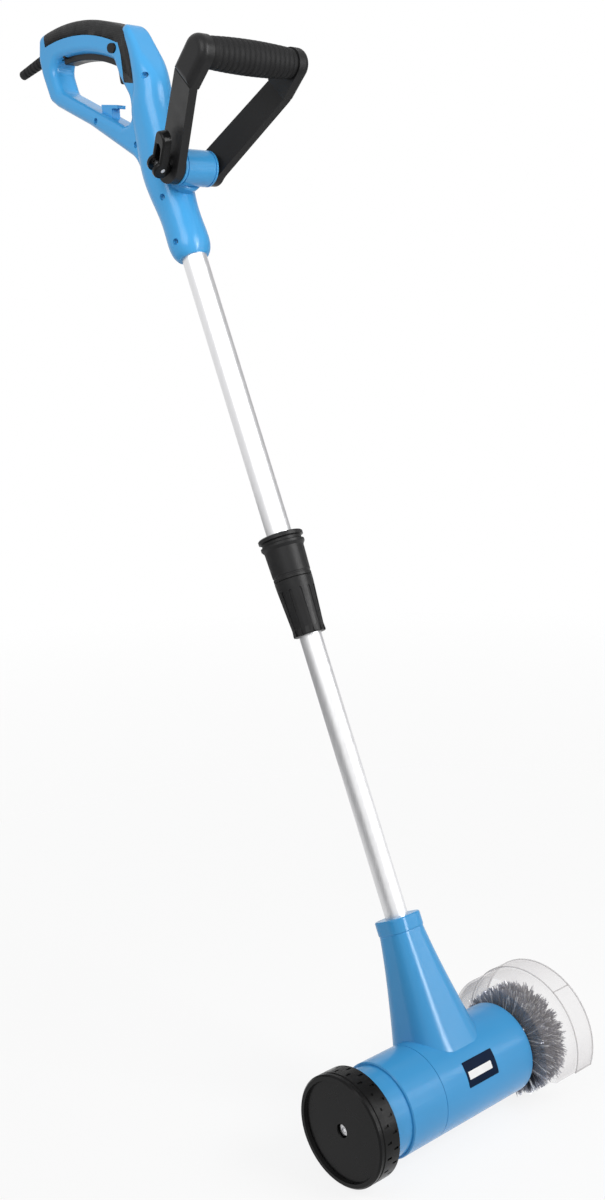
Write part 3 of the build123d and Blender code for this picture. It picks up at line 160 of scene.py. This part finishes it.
class Finish:
    """A Principled material being made, with short ways to add its detail."""

    def __init__(self, name, colour, roughness, metallic=0.0):
        self.name = name
        self.colour = colour
        self.material = bpy.data.materials.new(name)
        self.material.use_nodes = True
        self.tree = self.material.node_tree
        self.shader = self.tree.nodes["Principled BSDF"]
        self.set("Base Color", (*colour, 1.0))
        self.set("Roughness", roughness)
        self.set("Metallic", metallic)

    def set(self, socket, value):
        """Set one of the shader's own sockets."""
        self.shader.inputs[socket].default_value = value
        return self

    def add(self, kind, **inputs):
        """New node with some of its sockets set."""
        node = self.tree.nodes.new(kind)
        for name, value in inputs.items():
            node.inputs[name.replace("_", " ")].default_value = value
        return node

    def link(self, out, into):
        """Link an output to an input."""
        self.tree.links.new(out, into)

    def place(self, stretch=(1, 1, 1), turn=(0, 0, 0), shift=(0, 0, 0)):
        """Object coordinates, stretched, turned by degrees and shifted."""
        coordinates = self.add("ShaderNodeTexCoord")
        turns = [math.radians(angle) for angle in turn]
        mapping = self.add("ShaderNodeMapping", Location=shift, Rotation=turns, Scale=stretch)
        self.link(coordinates.outputs["Object"], mapping.inputs["Vector"])
        return mapping.outputs["Vector"]

    def distance(self, **where):
        """Distance from the origin of placed coordinates."""
        away = self.add("ShaderNodeVectorMath")
        away.operation = "LENGTH"
        self.link(self.place(**where), away.inputs[0])
        return away.outputs["Value"]

    def noise(self, scale, detail=3.0, **where):
        """Noise in placed coordinates."""
        node = self.add("ShaderNodeTexNoise", Scale=scale, Detail=detail)
        self.link(self.place(**where), node.inputs["Vector"])
        return node.outputs["Fac"]

    def ranged(self, value, low, high, source=PATTERN_SPAN):
        """Value brought from its source's range to another, and held at the ends."""
        node = self.add("ShaderNodeMapRange", From_Min=source[0], From_Max=source[1],
                        To_Min=low, To_Max=high)
        self.link(value, node.inputs["Value"])
        return node.outputs["Result"]

    def mixed(self, share, first, second):
        """Two shaders mixed by a share."""
        mix = self.add("ShaderNodeMixShader")
        for out, into in zip((share, first, second), mix.inputs):
            self.link(out, into)
        return mix.outputs[0]

    def dulled(self, level):
        """Weaker reflection than a bare plastic's."""
        return self.set("Specular IOR Level", level)

    def thin(self, face_on, edge_on):
        """Clear wall whose share of light grows towards its edges."""
        facing = self.add("ShaderNodeLayerWeight", Blend=0.5)
        share = self.ranged(facing.outputs["Facing"], face_on, edge_on, FACING_SPAN)
        self.link(share, self.shader.inputs["Alpha"])
        return self

    def mottled(self, scale, lift, **where):
        """Colour that wanders a little about its value."""
        mix = self.add("ShaderNodeMixRGB")
        for socket, factor in (("Color1", 1 - lift), ("Color2", 1 + lift)):
            shade = [min(1.0, c * factor) for c in self.colour]
            mix.inputs[socket].default_value = (*shade, 1.0)
        self.link(self.ranged(self.noise(scale, **where), 0, 1), mix.inputs["Fac"])
        self.link(mix.outputs["Color"], self.shader.inputs["Base Color"])
        return self

    def root_shaded(self, tip, near, far):
        """Painted shade: colour that pales between two distances from the brush's axis, so the wires darken
        towards their roots by the hub.
        """
        away = self.distance(stretch=(1, 0, 1), shift=(-HEAD_AT.x, 0, -HEAD_AT.z))
        base = self.shader.inputs["Base Color"]
        mix = self.add("ShaderNodeMixRGB", Color2=(*tip, 1.0))
        self.link(self.ranged(away, 0, 1, (near, far)), mix.inputs["Fac"])
        self.link(base.links[0].from_socket, mix.inputs["Color1"])
        self.link(mix.outputs["Color"], base)
        return self

    def worn(self, scale, low, high, **where):
        """Roughness that wanders between two values."""
        value = self.ranged(self.noise(scale, **where), low, high)
        self.link(value, self.shader.inputs["Roughness"])
        return self

    def relief(self, height, depth):
        """Bump of a depth in metres."""
        bump = self.add("ShaderNodeBump", Strength=1.0, Distance=depth)
        self.link(height, bump.inputs["Height"])
        self.link(bump.outputs["Normal"], self.shader.inputs["Normal"])
        return self

    def grained(self, scale, depth, detail=2.0):
        """Fine relief from noise."""
        return self.relief(self.noise(scale, detail), depth)

    def dimpled(self, pitch, depth, unevenness=0.15):
        """Relief of small round dimples in nearly even rows."""
        cells = self.add("ShaderNodeTexVoronoi", Scale=1 / pitch, Randomness=unevenness)
        self.link(self.place(), cells.inputs["Vector"])
        return self.relief(self.ranged(cells.outputs["Distance"], 0, 1), depth)


def seen_rays(tree):
    """Socket that is 1 for the rays of the camera, of reflections and through clear walls."""
    rays = tree.nodes.new("ShaderNodeLightPath")
    seen = rays.outputs["Is Camera Ray"]
    for kind in ("Is Glossy Ray", "Is Transmission Ray"):
        either = tree.nodes.new("ShaderNodeMath")
        either.operation = "MAXIMUM"
        tree.links.new(seen, either.inputs[0])
        tree.links.new(rays.outputs[kind], either.inputs[1])
        seen = either.outputs[0]
    return seen


def make_finishes(colours):
    """Every material, by the record's slot or by its own name."""
    black = colours.moulded_black
    soft = colours.soft_black
    drawn = {"turn": (0, LEAN, 0), "stretch": (1, 1, 0.02)}    # drawn out along the shaft
    finishes = (
        Finish("blue_shell", colours.shell_blue, 0.22).dulled(0.32).mottled(9, 0.03)
        .worn(40, 0.19, 0.27).grained(900, 0.03 * MM),
        Finish("black_plastic", black, 0.4).dulled(0.18).mottled(30, 0.15)
        .worn(60, 0.32, 0.46).grained(1500, 0.10 * MM),
        Finish("glossy_black", [c / 2 for c in black], 0.25).dulled(0.14).mottled(30, 0.12)
        .worn(60, 0.2, 0.3).grained(1200, 0.04 * MM),
        Finish("collar_black", [c * 1.2 for c in black], 0.42).dulled(0.2).mottled(30, 0.15)
        .worn(60, 0.35, 0.48).grained(1500, 0.10 * MM),
        Finish("soft_black", soft, 0.6).dulled(0.15).mottled(60, 0.12)
        .worn(90, 0.52, 0.68).grained(2200, 0.15 * MM),
        Finish("dimpled_rubber", soft, 0.55).dulled(0.25).mottled(60, 0.12)
        .worn(90, 0.46, 0.64).dimpled(2.1 * MM, 0.4 * MM),
        Finish("aluminium", colours.tube_silver, 0.4, 1.0).mottled(300, 0.02, **drawn)
        .worn(500, 0.36, 0.44, **drawn),
        Finish("steel", colours.steel, 0.25, 1.0).mottled(120, 0.06).worn(200, 0.18, 0.32),
        # Brush wires: random tone, and painted shade that darkens them towards their roots by the hub.
        Finish("wire", colours.wire_grey, 0.38, 0.8).mottled(420, 0.5)
        .root_shaded(colours.wire_lit_tip, 35 * MM, 52 * MM).worn(300, 0.28, 0.5),
        # Wires painted near white, as painted glints among the dark wires.
        Finish("glint_painted_wire", (0.88, 0.88, 0.9), 0.3, 0.3).mottled(420, 0.2)
        .worn(300, 0.2, 0.4),
        Finish("copper", colours.copper, 0.35, 1.0).mottled(300, 0.1).worn(400, 0.28, 0.42),
        Finish("carbon", (0.05, 0.05, 0.05), 0.7).mottled(500, 0.2).grained(3000, 0.05 * MM),
        Finish("clear_plastic", (0.68, 0.64, 0.65), 0.12).worn(50, 0.08, 0.16)
        .thin(0.13, 0.55),
        Finish("clear_edge", (0.50, 0.47, 0.47), 0.3).worn(50, 0.24, 0.36).set("Alpha", 0.35),
        Finish("plate_navy", colours.plate_navy, 0.5).dulled(0.05).mottled(80, 0.1)
        .worn(120, 0.44, 0.56),
        Finish("plate_white", (0.86, 0.86, 0.86), 0.4).mottled(80, 0.03)
        .worn(120, 0.34, 0.46),
    )
    return {finish.name: finish.material for finish in finishes}


FINISHES = {}

# Nodes whose finish isn't the one that their slot names
NODE_FINISH = {
    "wheel": "glossy_black", "cam_lever": "glossy_black", "lock_button": "glossy_black",
    "collar_body": "collar_black", "collar_nut": "collar_black",
    "trigger_spring": "black_plastic", "trigger_pin": "black_plastic",
}


# Modelling steps that the pieces share

def paint(piece, material):
    """Give a piece one material."""
    piece.data.materials.clear()
    piece.data.materials.append(material)


def deselect():
    """Leave no object selected."""
    bpy.ops.object.select_all(action="DESELECT")


def alone(piece):
    """Make a piece the only selected object."""
    deselect()
    piece.select_set(True)
    bpy.context.view_layer.objects.active = piece


def named(name):
    """Name the active piece, and its mesh."""
    piece = bpy.context.object
    piece.name = name
    piece.data.name = name
    return piece


def copied(name, mesh):
    """New piece with its own copy of a mesh."""
    piece = bpy.data.objects.new(name, mesh.copy())
    bpy.context.collection.objects.link(piece)
    return piece


def joined(name, pieces):
    """Join pieces into the first of them, under one name."""
    alone(pieces[0])
    for piece in pieces[1:]:
        piece.select_set(True)
    bpy.ops.object.join()
    return named(name)


def settle(piece, matrix):
    """Put a piece in its place, with the place in its mesh."""
    piece.matrix_world = matrix
    alone(piece)
    bpy.ops.object.transform_apply(location=True, rotation=True, scale=True)


def about(axis, degrees):
    """Turn about a main axis."""
    return Matrix.Rotation(math.radians(degrees), 4, axis)


def picking(kind):
    """Set whether edit mode selects vertices, edges or faces."""
    kinds = ("VERT", "EDGE", "FACE")
    bpy.context.tool_settings.mesh_select_mode = [kind == each for each in kinds]


def smooth(piece, degrees):
    """Shade a piece smooth where its faces meet at less than an angle."""
    alone(piece)
    bpy.ops.object.shade_smooth_by_angle(angle=math.radians(degrees))


def turned(name, profile, steps, sweep=360):
    """Ring or arc turned about Z from a closed profile of (radius, height) points."""
    deselect()
    bpy.ops.mesh.primitive_plane_add(size=MM, location=(0, 0, 0))
    piece = named(name)
    bpy.ops.object.mode_set(mode="EDIT")
    bpy.ops.mesh.merge(type="CENTER")
    bpy.ops.transform.translate(value=(profile[0][0], 0, profile[0][1]))
    for start, end in zip(profile, profile[1:] + profile[:1]):
        step = (end[0] - start[0], 0, end[1] - start[1])
        bpy.ops.mesh.extrude_region_move(TRANSFORM_OT_translate={"value": step})
    bpy.ops.mesh.select_all(action="SELECT")
    if sweep < 360:
        bpy.ops.mesh.remove_doubles(threshold=WELD)
        bpy.ops.mesh.edge_face_add()
    bpy.ops.mesh.spin(steps=steps, angle=math.radians(sweep), center=(0, 0, 0), axis=(0, 0, 1))
    bpy.ops.mesh.select_all(action="SELECT")
    bpy.ops.mesh.remove_doubles(threshold=WELD)
    bpy.ops.mesh.normals_make_consistent(inside=False)
    bpy.ops.object.mode_set(mode="OBJECT")
    return piece


def carry(piece, body, slot, *nodes):
    """Ride a piece on its body and hide the nodes that it stands for; its finish's slot is not used."""
    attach(piece, body)
    if nodes:
        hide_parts(*nodes)


# Pieces

class JOINTCLEANER_OT_finishes(bpy.types.Operator):
    """Make the materials and give each CAD node its own"""
    bl_idname = "joint_cleaner.finishes"
    bl_label = "Finishes"

    def execute(self, context):
        FINISHES.update(make_finishes(context.scene.joint_cleaner_colours))
        for node, piece in frame["nodes"].items():
            paint(piece, FINISHES[NODE_FINISH.get(node, SLOT_OF[node])])
            smooth(piece, degrees=30)
        return {"FINISHED"}


class JOINTCLEANER_OT_wire_brush(bpy.types.Operator):
    """Model the brush's wires as tufts and copy them round the hub"""
    bl_idname = "joint_cleaner.wire_brush"
    bl_label = "Wire brush"

    seed = 7
    sectors = 6
    cuts = 4                    # along one wire
    taper = 0.8                 # a wire's radius at its tip over that at its root
    wave = 0.9 * MM             # height of a wire's wave at its tip
    wave_turn = 5               # radians of the wave along a wire
    rim = 0.92                  # share of the brush's width that holds tufts
    tuft_step = 0.618           # share of the rim from one tuft to the next
    tuft_stray = 0.08           # share of the rim that a tuft may stray
    tuft_lean = 0.05            # spread of a tuft's tilt, in radians
    tuft_loss = 0.2             # share of its length that a tuft may lack
    tuft_loss_power = 1.5       # above 1, so that most tufts lack little
    tuft_spread = 1.5 * MM      # of the wires round their tuft's middle
    wire_lean = 0.055           # spread of a wire's tilt in its tuft, in radians
    wire_loss = 0.16            # share of its length that a wire may lack
    wire_loss_power = 2         # above 1, so that most wires lack little
    # Some wires are painted near white to stand in for glints:
    painted_glint_share = 0.055        # share of the wires that are bright
    painted_glint_thickness = 1.5      # of a bright wire, over the others'

    def straight_wire(self, radius, length):
        """One three-sided wire with a slight wave, from the origin up Z."""
        deselect()
        bpy.ops.mesh.primitive_cone_add(vertices=3, radius1=radius, radius2=radius * self.taper,
                                        depth=length, location=(0, 0, length / 2))
        wire = named("wire")
        alone(wire)
        bpy.ops.object.transform_apply(location=True)
        picking("EDGE")
        bpy.ops.object.mode_set(mode="EDIT")
        bpy.ops.mesh.select_all(action="DESELECT")
        bpy.ops.object.mode_set(mode="OBJECT")
        for edge in wire.data.edges:
            ends = [wire.data.vertices[i].co.z for i in edge.vertices]
            edge.select = abs(ends[0] - ends[1]) > length / 2
        bpy.ops.object.mode_set(mode="EDIT")
        bpy.ops.mesh.subdivide(number_cuts=self.cuts)
        bpy.ops.object.mode_set(mode="OBJECT")
        picking("VERT")
        for vertex in wire.data.vertices:
            share = vertex.co.z / length
            vertex.co.x += self.wave * math.sin(self.wave_turn * share) * share
        wire.data.materials.append(FINISHES["wire"])
        wire.data.materials.append(FINISHES["glint_painted_wire"])
        return wire

    def lean(self, rng, spread):
        """A random tilt to any side."""
        return (Matrix.Rotation(rng.gauss(0, spread), 4, "X")
                @ Matrix.Rotation(rng.gauss(0, spread), 4, "Y"))

    def tuft(self, rng, wire, place, count):
        """Copies of a wire that stand together, some of them painted near white as glints."""
        reach = 1 - self.tuft_loss * rng.random() ** self.tuft_loss_power
        wires = []
        for _ in range(count):
            copy = copied("wire", wire.data)
            length = 1.0
            thick = 1.0
            if rng.random() < self.painted_glint_share:
                faces = copy.data.polygons
                faces.foreach_set("material_index", [1] * len(faces))
                thick = self.painted_glint_thickness
            else:
                length = reach * (1 - self.wire_loss * rng.random() ** self.wire_loss_power)
            stretch = Matrix.Diagonal((thick, thick, length, 1))
            spin = Matrix.Rotation(rng.uniform(0, 2 * math.pi), 4, "Z")
            apart = Matrix.Translation((rng.gauss(0, self.tuft_spread),
                                        rng.gauss(0, self.tuft_spread), 0))
            copy.data.transform(place @ apart @ self.lean(rng, self.wire_lean) @ spin @ stretch)
            wires.append(copy)
        return wires

    def execute(self, context):
        sizes = context.scene.joint_cleaner_sizes
        low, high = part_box("bristles")
        width = high.y - low.y
        outer = (high.x - low.x) / 2
        inner = span("brush_hub").x / 2
        rng = random.Random(self.seed)
        wire = self.straight_wire(sizes.wire_radius, outer - inner)
        wires = []
        for k in range(sizes.tufts):
            stray = rng.uniform(-self.tuft_stray, self.tuft_stray)
            along = (k * self.tuft_step + stray) % 1 - 0.5
            seat = Matrix.Translation((0, self.rim * along * width, inner))
            turn = (k + rng.random()) / sizes.tufts * 2 * math.pi / self.sectors
            place = Matrix.Rotation(turn, 4, "Y") @ seat @ self.lean(rng, self.tuft_lean)
            wires += self.tuft(rng, wire, place, sizes.tuft_wires)
        bpy.data.objects.remove(wire)
        brush = joined("brush_wires", wires)
        copies = [copied("brush_sector", brush.data) for _ in range(1, self.sectors)]
        for k, copy in enumerate(copies, 1):
            copy.data.transform(about("Y", 360 * k / self.sectors))
        brush = joined("brush_wires", [brush] + copies)
        settle(brush, Matrix.Translation((HEAD_AT.x, (low.y + high.y) / 2, HEAD_AT.z)))
        carry(brush, "spindle", "wire", "bristles")
        return {"FINISHED"}


class JOINTCLEANER_OT_guard_beads(bpy.types.Operator):
    """Turn the beads in the clear guard's wall, and draw out its ribs"""
    bl_idname = "joint_cleaner.guard_beads"
    bl_label = "Guard beads"

    radius = 0.65 * MM
    sides = 8
    depth = 1.1 * radius        # of a bead's middle under the guard's outer face
    step = 112.3 * MM           # along the head, just past the step in the guard's wall
    first = -14                 # angles of the guard's two edges
    last = 214
    rib_angles = (-13.4, 58, 213.4)
    arc_steps = 76

    def circle(self, away, along):
        """Profile of a bead."""
        turns = [2 * math.pi * k / self.sides for k in range(self.sides)]
        return [(away + self.radius * math.cos(turn), along + self.radius * math.sin(turn))
                for turn in turns]

    def execute(self, context):
        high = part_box("guard")[1]
        away = high.x - HEAD_AT.x - self.depth
        end = high.y - self.radius
        lying = Matrix.Translation((HEAD_AT.x, 0, HEAD_AT.z)) @ about("X", -90)
        pieces = []
        for along in (self.step, end):
            bead = turned("guard_bead", self.circle(away, along), self.arc_steps,
                          self.last - self.first)
            settle(bead, lying @ about("Z", -self.first))
            pieces.append(bead)
        for angle in self.rib_angles:
            deselect()
            bpy.ops.mesh.primitive_cylinder_add(
                vertices=self.sides, radius=self.radius, depth=end - self.step,
                location=(away, 0, (end + self.step) / 2))
            rib = named("guard_rib")
            bpy.ops.object.transform_apply(location=True)
            settle(rib, lying @ about("Z", -angle))
            pieces.append(rib)
        beads = joined("guard_beads", pieces)
        smooth(beads, degrees=50)
        paint(beads, FINISHES["clear_edge"])
        carry(beads, "head", "clear_plastic")
        return {"FINISHED"}


class JOINTCLEANER_OT_front_grip(bpy.types.Operator):
    """Turn the front handle's ringed soft sleeve"""
    bl_idname = "joint_cleaner.front_grip"
    bl_label = "Front grip"

    steps = 64
    wall = 6.2 * MM             # from the bore to the CAD solid's crown
    crown_drop = 0.2 * MM       # of the rings under the CAD solid's crown
    end_drop = 2.0 * MM         # how far the crowned sleeve falls to its ends
    lead = 5 * MM               # length of the plain cuff at each end
    cuff_drop = 0.4 * MM        # of a cuff under the sleeve's ends
    chamfer = 0.8 * MM
    groove = 0.5 * MM           # between the last ring and its cuff
    groove_length = 1 * MM
    ring_depth = 0.8 * MM
    ring_shape = ((0.0, 1.0), (0.16, 0.35), (0.3, 0.0), (0.7, 0.0), (0.84, 0.35))

    def profile(self, half, full, rings):
        """Half section of the sleeve, from its lower to its upper end."""
        bore = full - self.wall
        cuff = full - self.end_drop - self.cuff_drop
        foot = half - self.lead
        pitch = 2 * foot / rings
        points = [(bore, -half), (cuff - self.chamfer, -half), (cuff, -half + self.chamfer)]
        for k in range(rings):
            for share, drop in self.ring_shape:
                height = (k + share) * pitch - foot
                crown = full - self.crown_drop - self.end_drop * (height / half) ** 2
                points.append((crown - drop * self.ring_depth, height))
        return points + [(cuff - self.groove, foot), (cuff, foot + self.groove_length),
                         (cuff, half - self.chamfer), (cuff - self.chamfer, half), (bore, half)]

    def execute(self, context):
        rings = context.scene.joint_cleaner_sizes.grip_rings
        size = span("front_grip")
        grip = turned("front_grip_sleeve", self.profile(size.y / 2, size.x / 2, rings), self.steps)
        smooth(grip, degrees=50)
        settle(grip, Matrix.Translation(middle("front_grip")) @ about("X", -90))
        paint(grip, FINISHES["soft_black"])
        carry(grip, "front_handle", "soft_black", "front_grip")
        return {"FINISHED"}


class JOINTCLEANER_OT_grip_pad(bpy.types.Operator):
    """Model the soft pad of the rear grip from its CAD solid"""
    bl_idname = "joint_cleaner.grip_pad"
    bl_label = "Grip pad"

    def execute(self, context):
        pad = copied("soft_grip_pad", frame["nodes"]["grip_pad"].data)
        alone(pad)
        bpy.ops.object.mode_set(mode="EDIT")
        bpy.ops.mesh.select_all(action="SELECT")
        bpy.ops.mesh.remove_doubles(threshold=WELD)
        bpy.ops.object.mode_set(mode="OBJECT")
        paint(pad, FINISHES["dimpled_rubber"])
        smooth(pad, degrees=40)
        carry(pad, "handle", "soft_black", "grip_pad")
        return {"FINISHED"}


class JOINTCLEANER_OT_blank_plate(bpy.types.Operator):
    """Bend a blank plate with a plain white field onto the barrel"""
    bl_idname = "joint_cleaner.blank_plate"
    bl_label = "Blank plate"

    strips = 12                 # that a plate is cut into before it is bent
    corner_segments = 5
    thick = 0.35 * MM
    corner = 0.9 * MM
    field_length = 30.5 * MM
    field_height = 7 * MM
    field_thick = 0.15 * MM
    field_corner = 0.35 * MM
    field_seat = 0.3 * MM       # of the field's back above the barrel
    field_drop = 1.3 * MM       # of the field's middle under the plate's
    field_shift = 2 * MM        # of the field's middle along the head from the plate's

    def bent(self, name, radius, length, height, angle, along, thick, corner):
        """Plate of rounded outline wrapped round the head's axis."""
        deselect()
        bpy.ops.mesh.primitive_plane_add(size=1, location=(0, 0, 0))
        plate = named(name)
        plate.scale = (height, length, 1)
        bpy.ops.object.transform_apply(scale=True)
        bpy.ops.object.mode_set(mode="EDIT")
        bpy.ops.mesh.select_all(action="SELECT")
        bpy.ops.mesh.bevel(offset=corner, segments=self.corner_segments, affect="VERTICES")
        for k in range(1, self.strips):
            cut = height * (k / self.strips - 0.5)
            bpy.ops.mesh.select_all(action="SELECT")
            bpy.ops.mesh.bisect(plane_co=(cut, 0, 0), plane_no=(1, 0, 0))
        bpy.ops.object.mode_set(mode="OBJECT")
        for vertex in plate.data.vertices:
            turn = angle - vertex.co.x / radius
            vertex.co = (radius * math.cos(turn), along + vertex.co.y, radius * math.sin(turn))
        wall = plate.modifiers.new("wall", "SOLIDIFY")
        wall.thickness = thick
        wall.offset = 1
        alone(plate)
        bpy.ops.object.mode_set(mode="EDIT")
        bpy.ops.mesh.select_all(action="SELECT")
        bpy.ops.mesh.normals_make_consistent(inside=False)
        bpy.ops.object.mode_set(mode="OBJECT")
        outwards = Vector((math.cos(angle), 0, math.sin(angle)))
        if plate.data.polygons[0].normal.dot(outwards) < 0:
            plate.data.flip_normals()
        bpy.ops.object.modifier_apply(modifier="wall")
        settle(plate, Matrix.Translation((HEAD_AT.x, 0, HEAD_AT.z)))
        smooth(plate, degrees=30)
        return plate

    def execute(self, context):
        sizes = context.scene.joint_cleaner_sizes
        radius = span("end_cover").x / 2
        border = self.bent("blank_plate", radius, sizes.plate_length, sizes.plate_height,
                           sizes.plate_angle, sizes.plate_at, self.thick, self.corner)
        paint(border, FINISHES["plate_navy"])
        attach(border, "head")
        field = self.bent("blank_plate_field", radius + self.field_seat,
                          self.field_length, self.field_height,
                          sizes.plate_angle - self.field_drop / radius,
                          sizes.plate_at - self.field_shift, self.field_thick, self.field_corner)
        paint(field, FINISHES["plate_white"])
        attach(field, "head")
        return {"FINISHED"}


# Studio

class JOINTCLEANER_OT_stage(bpy.types.Operator):
    """Add the floor, the studio lights and the camera"""
    bl_idname = "joint_cleaner.stage"
    bl_label = "Studio"

    camera_at = (1.2982, -0.9101, -0.2680)
    camera_turn = (78.198, 0.341, 47.299)    # degrees
    lens = 42.96                # lens and sensor in millimetres
    sensor = 36

    floor_radius = 4
    floor_gap = 0.2 * MM        # between the floor and the lowest CAD solid
    floor_grey = 0.93
    floor_glow = 0.86           # share of plain white in the floor as it is seen
    floor_fade = (0.5, 2.2)     # distances from its middle between which it turns clear

    world_light = 0.35          # of the world on the object; the world that is seen is white

    card_radius = 0.7
    card_middle = (0.35, 0)
    card_split = -0.6           # height of the left card's top and of the back card's foot
    left_bearings = (139, 297)
    left_grey = 0.45
    back_bearings = (55, 139)
    back_grey = 0.6
    back_top = 0.6

    def floor(self):
        """Pale disc that keeps the object's shadow and fades into the background."""
        deselect()
        bpy.ops.mesh.primitive_circle_add(
            vertices=96, radius=self.floor_radius, fill_type="NGON",
            location=(HEAD_AT.x, HEAD_AT.y, CAD_BOX[0].z - self.floor_gap))
        floor = named("floor")
        finish = Finish("floor", [self.floor_grey] * 3, 0.9)
        share = finish.add("ShaderNodeMath")
        share.operation = "MULTIPLY"
        share.inputs[1].default_value = self.floor_glow
        finish.link(seen_rays(finish.tree), share.inputs[0])
        white = finish.add("ShaderNodeEmission", Color=(1, 1, 1, 1), Strength=1.0)
        lit = finish.mixed(share.outputs[0], finish.shader.outputs[0], white.outputs[0])
        clear = finish.add("ShaderNodeBsdfTransparent")
        fade = finish.ranged(finish.distance(), 0, 1, self.floor_fade)
        surface = finish.mixed(fade, lit, clear.outputs[0])
        finish.link(surface, finish.tree.nodes["Material Output"].inputs["Surface"])
        paint(floor, finish.material)

    def world(self, context):
        """White background that lights the object at a lower level."""
        world = bpy.data.worlds.new("studio")
        context.scene.world = world
        world.use_nodes = True
        tree = world.node_tree
        back = tree.nodes["Background"]
        back.inputs["Color"].default_value = (1, 1, 1, 1)
        level = tree.nodes.new("ShaderNodeMapRange")
        level.inputs["To Min"].default_value = self.world_light
        level.inputs["To Max"].default_value = 1.0
        tree.links.new(seen_rays(tree), level.inputs["Value"])
        tree.links.new(level.outputs["Result"], back.inputs["Strength"])

    def lamp(self, context, name, at, aim, size, power):
        """Softbox of a width and height, aimed at a point."""
        bpy.ops.object.light_add(type="AREA", location=at)
        lamp = context.object
        lamp.name = name
        lamp.data.shape = "RECTANGLE"
        lamp.data.size, lamp.data.size_y = size
        lamp.data.energy = power
        lamp.rotation_euler = (aim - Vector(at)).to_track_quat("-Z", "Y").to_euler()
        return lamp

    def lamps(self, context):
        """Two soft lamps, and two that show only as gleams."""
        whole = (CAD_BOX[0] + CAD_BOX[1]) / 2
        self.lamp(context, "key", (1.75, 0.55, 0.45), whole, (0.9, 0.9), 18.5)
        fill = self.lamp(context, "fill", (0.6, -0.9, 0.35), middle("grip_pad"), (0.8, 0.8), 4.7)
        fill.data.spread = math.radians(120)
        strip = self.lamp(context, "strip", (2.08, 0.64, -0.2), whole, (0.5, 1.1), 24)
        glint = self.lamp(context, "glint", (1.324, 0.861, -0.39), middle("motor_housing"),
                          (0.05, 0.3), 0.5)
        for lamp in (strip, glint):
            lamp.visible_diffuse = False

    def card(self, name, bearings, low, high, grey):
        """Board bent round the tool between two bearings, which only reflections show."""
        deselect()
        bpy.ops.mesh.primitive_cylinder_add(
            vertices=72, radius=self.card_radius, depth=high - low, end_fill_type="NOTHING",
            location=(*self.card_middle, (low + high) / 2))
        card = named(name)
        first, last = bearings
        for face in card.data.polygons:
            bearing = math.degrees(math.atan2(face.center.y, face.center.x))
            face.select = (bearing - first) % 360 > last - first
        picking("FACE")
        bpy.ops.object.mode_set(mode="EDIT")
        bpy.ops.mesh.delete(type="FACE")
        bpy.ops.object.mode_set(mode="OBJECT")
        picking("VERT")
        paint(card, Finish(name, [grey] * 3, 0.9).material)
        card.visible_camera = False
        card.visible_diffuse = False
        card.visible_shadow = False
        card.visible_transmission = False

    def camera(self, context):
        """Camera at the photograph's viewing angle."""
        camera = bpy.data.cameras.new("camera")
        camera.lens = self.lens
        camera.sensor_width = self.sensor
        camera.clip_start = 50 * MM
        seat = bpy.data.objects.new("camera", camera)
        context.collection.objects.link(seat)
        seat.location = self.camera_at
        seat.rotation_euler = [math.radians(angle) for angle in self.camera_turn]
        context.scene.camera = seat

    def execute(self, context):
        self.floor()
        self.world(context)
        self.lamps(context)
        self.card("left_card", self.left_bearings, CAD_BOX[0].z, self.card_split, self.left_grey)
        self.card("back_card", self.back_bearings, self.card_split, self.back_top, self.back_grey)
        self.camera(context)
        context.scene.view_settings.view_transform = "Standard"
        return {"FINISHED"}


# Add-on

STEPS = (
    JOINTCLEANER_OT_finishes,
    JOINTCLEANER_OT_wire_brush,
    JOINTCLEANER_OT_guard_beads,
    JOINTCLEANER_OT_front_grip,
    JOINTCLEANER_OT_grip_pad,
    JOINTCLEANER_OT_blank_plate,
    JOINTCLEANER_OT_stage,
)


class JOINTCLEANER_PT_panel(bpy.types.Panel):
    """Steps of the joint cleaner's looks"""
    bl_idname = "JOINTCLEANER_PT_panel"
    bl_label = "Joint Cleaner"
    bl_space_type = "VIEW_3D"
    bl_region_type = "UI"
    bl_category = "Joint Cleaner"

    def draw(self, context):
        for group in (context.scene.joint_cleaner_colours, context.scene.joint_cleaner_sizes):
            for name in group.__annotations__:
                self.layout.prop(group, name)
        for step in STEPS:
            self.layout.operator(step.bl_idname)


CLASSES = (JointCleanerColours, JointCleanerSizes, *STEPS, JOINTCLEANER_PT_panel)


def register():
    for kind in CLASSES:
        bpy.utils.register_class(kind)
    bpy.types.Scene.joint_cleaner_colours = bpy.props.PointerProperty(type=JointCleanerColours)
    bpy.types.Scene.joint_cleaner_sizes = bpy.props.PointerProperty(type=JointCleanerSizes)


def unregister():
    del bpy.types.Scene.joint_cleaner_sizes
    del bpy.types.Scene.joint_cleaner_colours
    for kind in reversed(CLASSES):
        bpy.utils.unregister_class(kind)


def main():
    """Run every step."""
    register()
    bpy.ops.joint_cleaner.finishes()
    bpy.ops.joint_cleaner.wire_brush()
    bpy.ops.joint_cleaner.guard_beads()
    bpy.ops.joint_cleaner.front_grip()
    bpy.ops.joint_cleaner.grip_pad()
    bpy.ops.joint_cleaner.blank_plate()
    bpy.ops.joint_cleaner.stage()


if __name__ == "__main__":
    main()
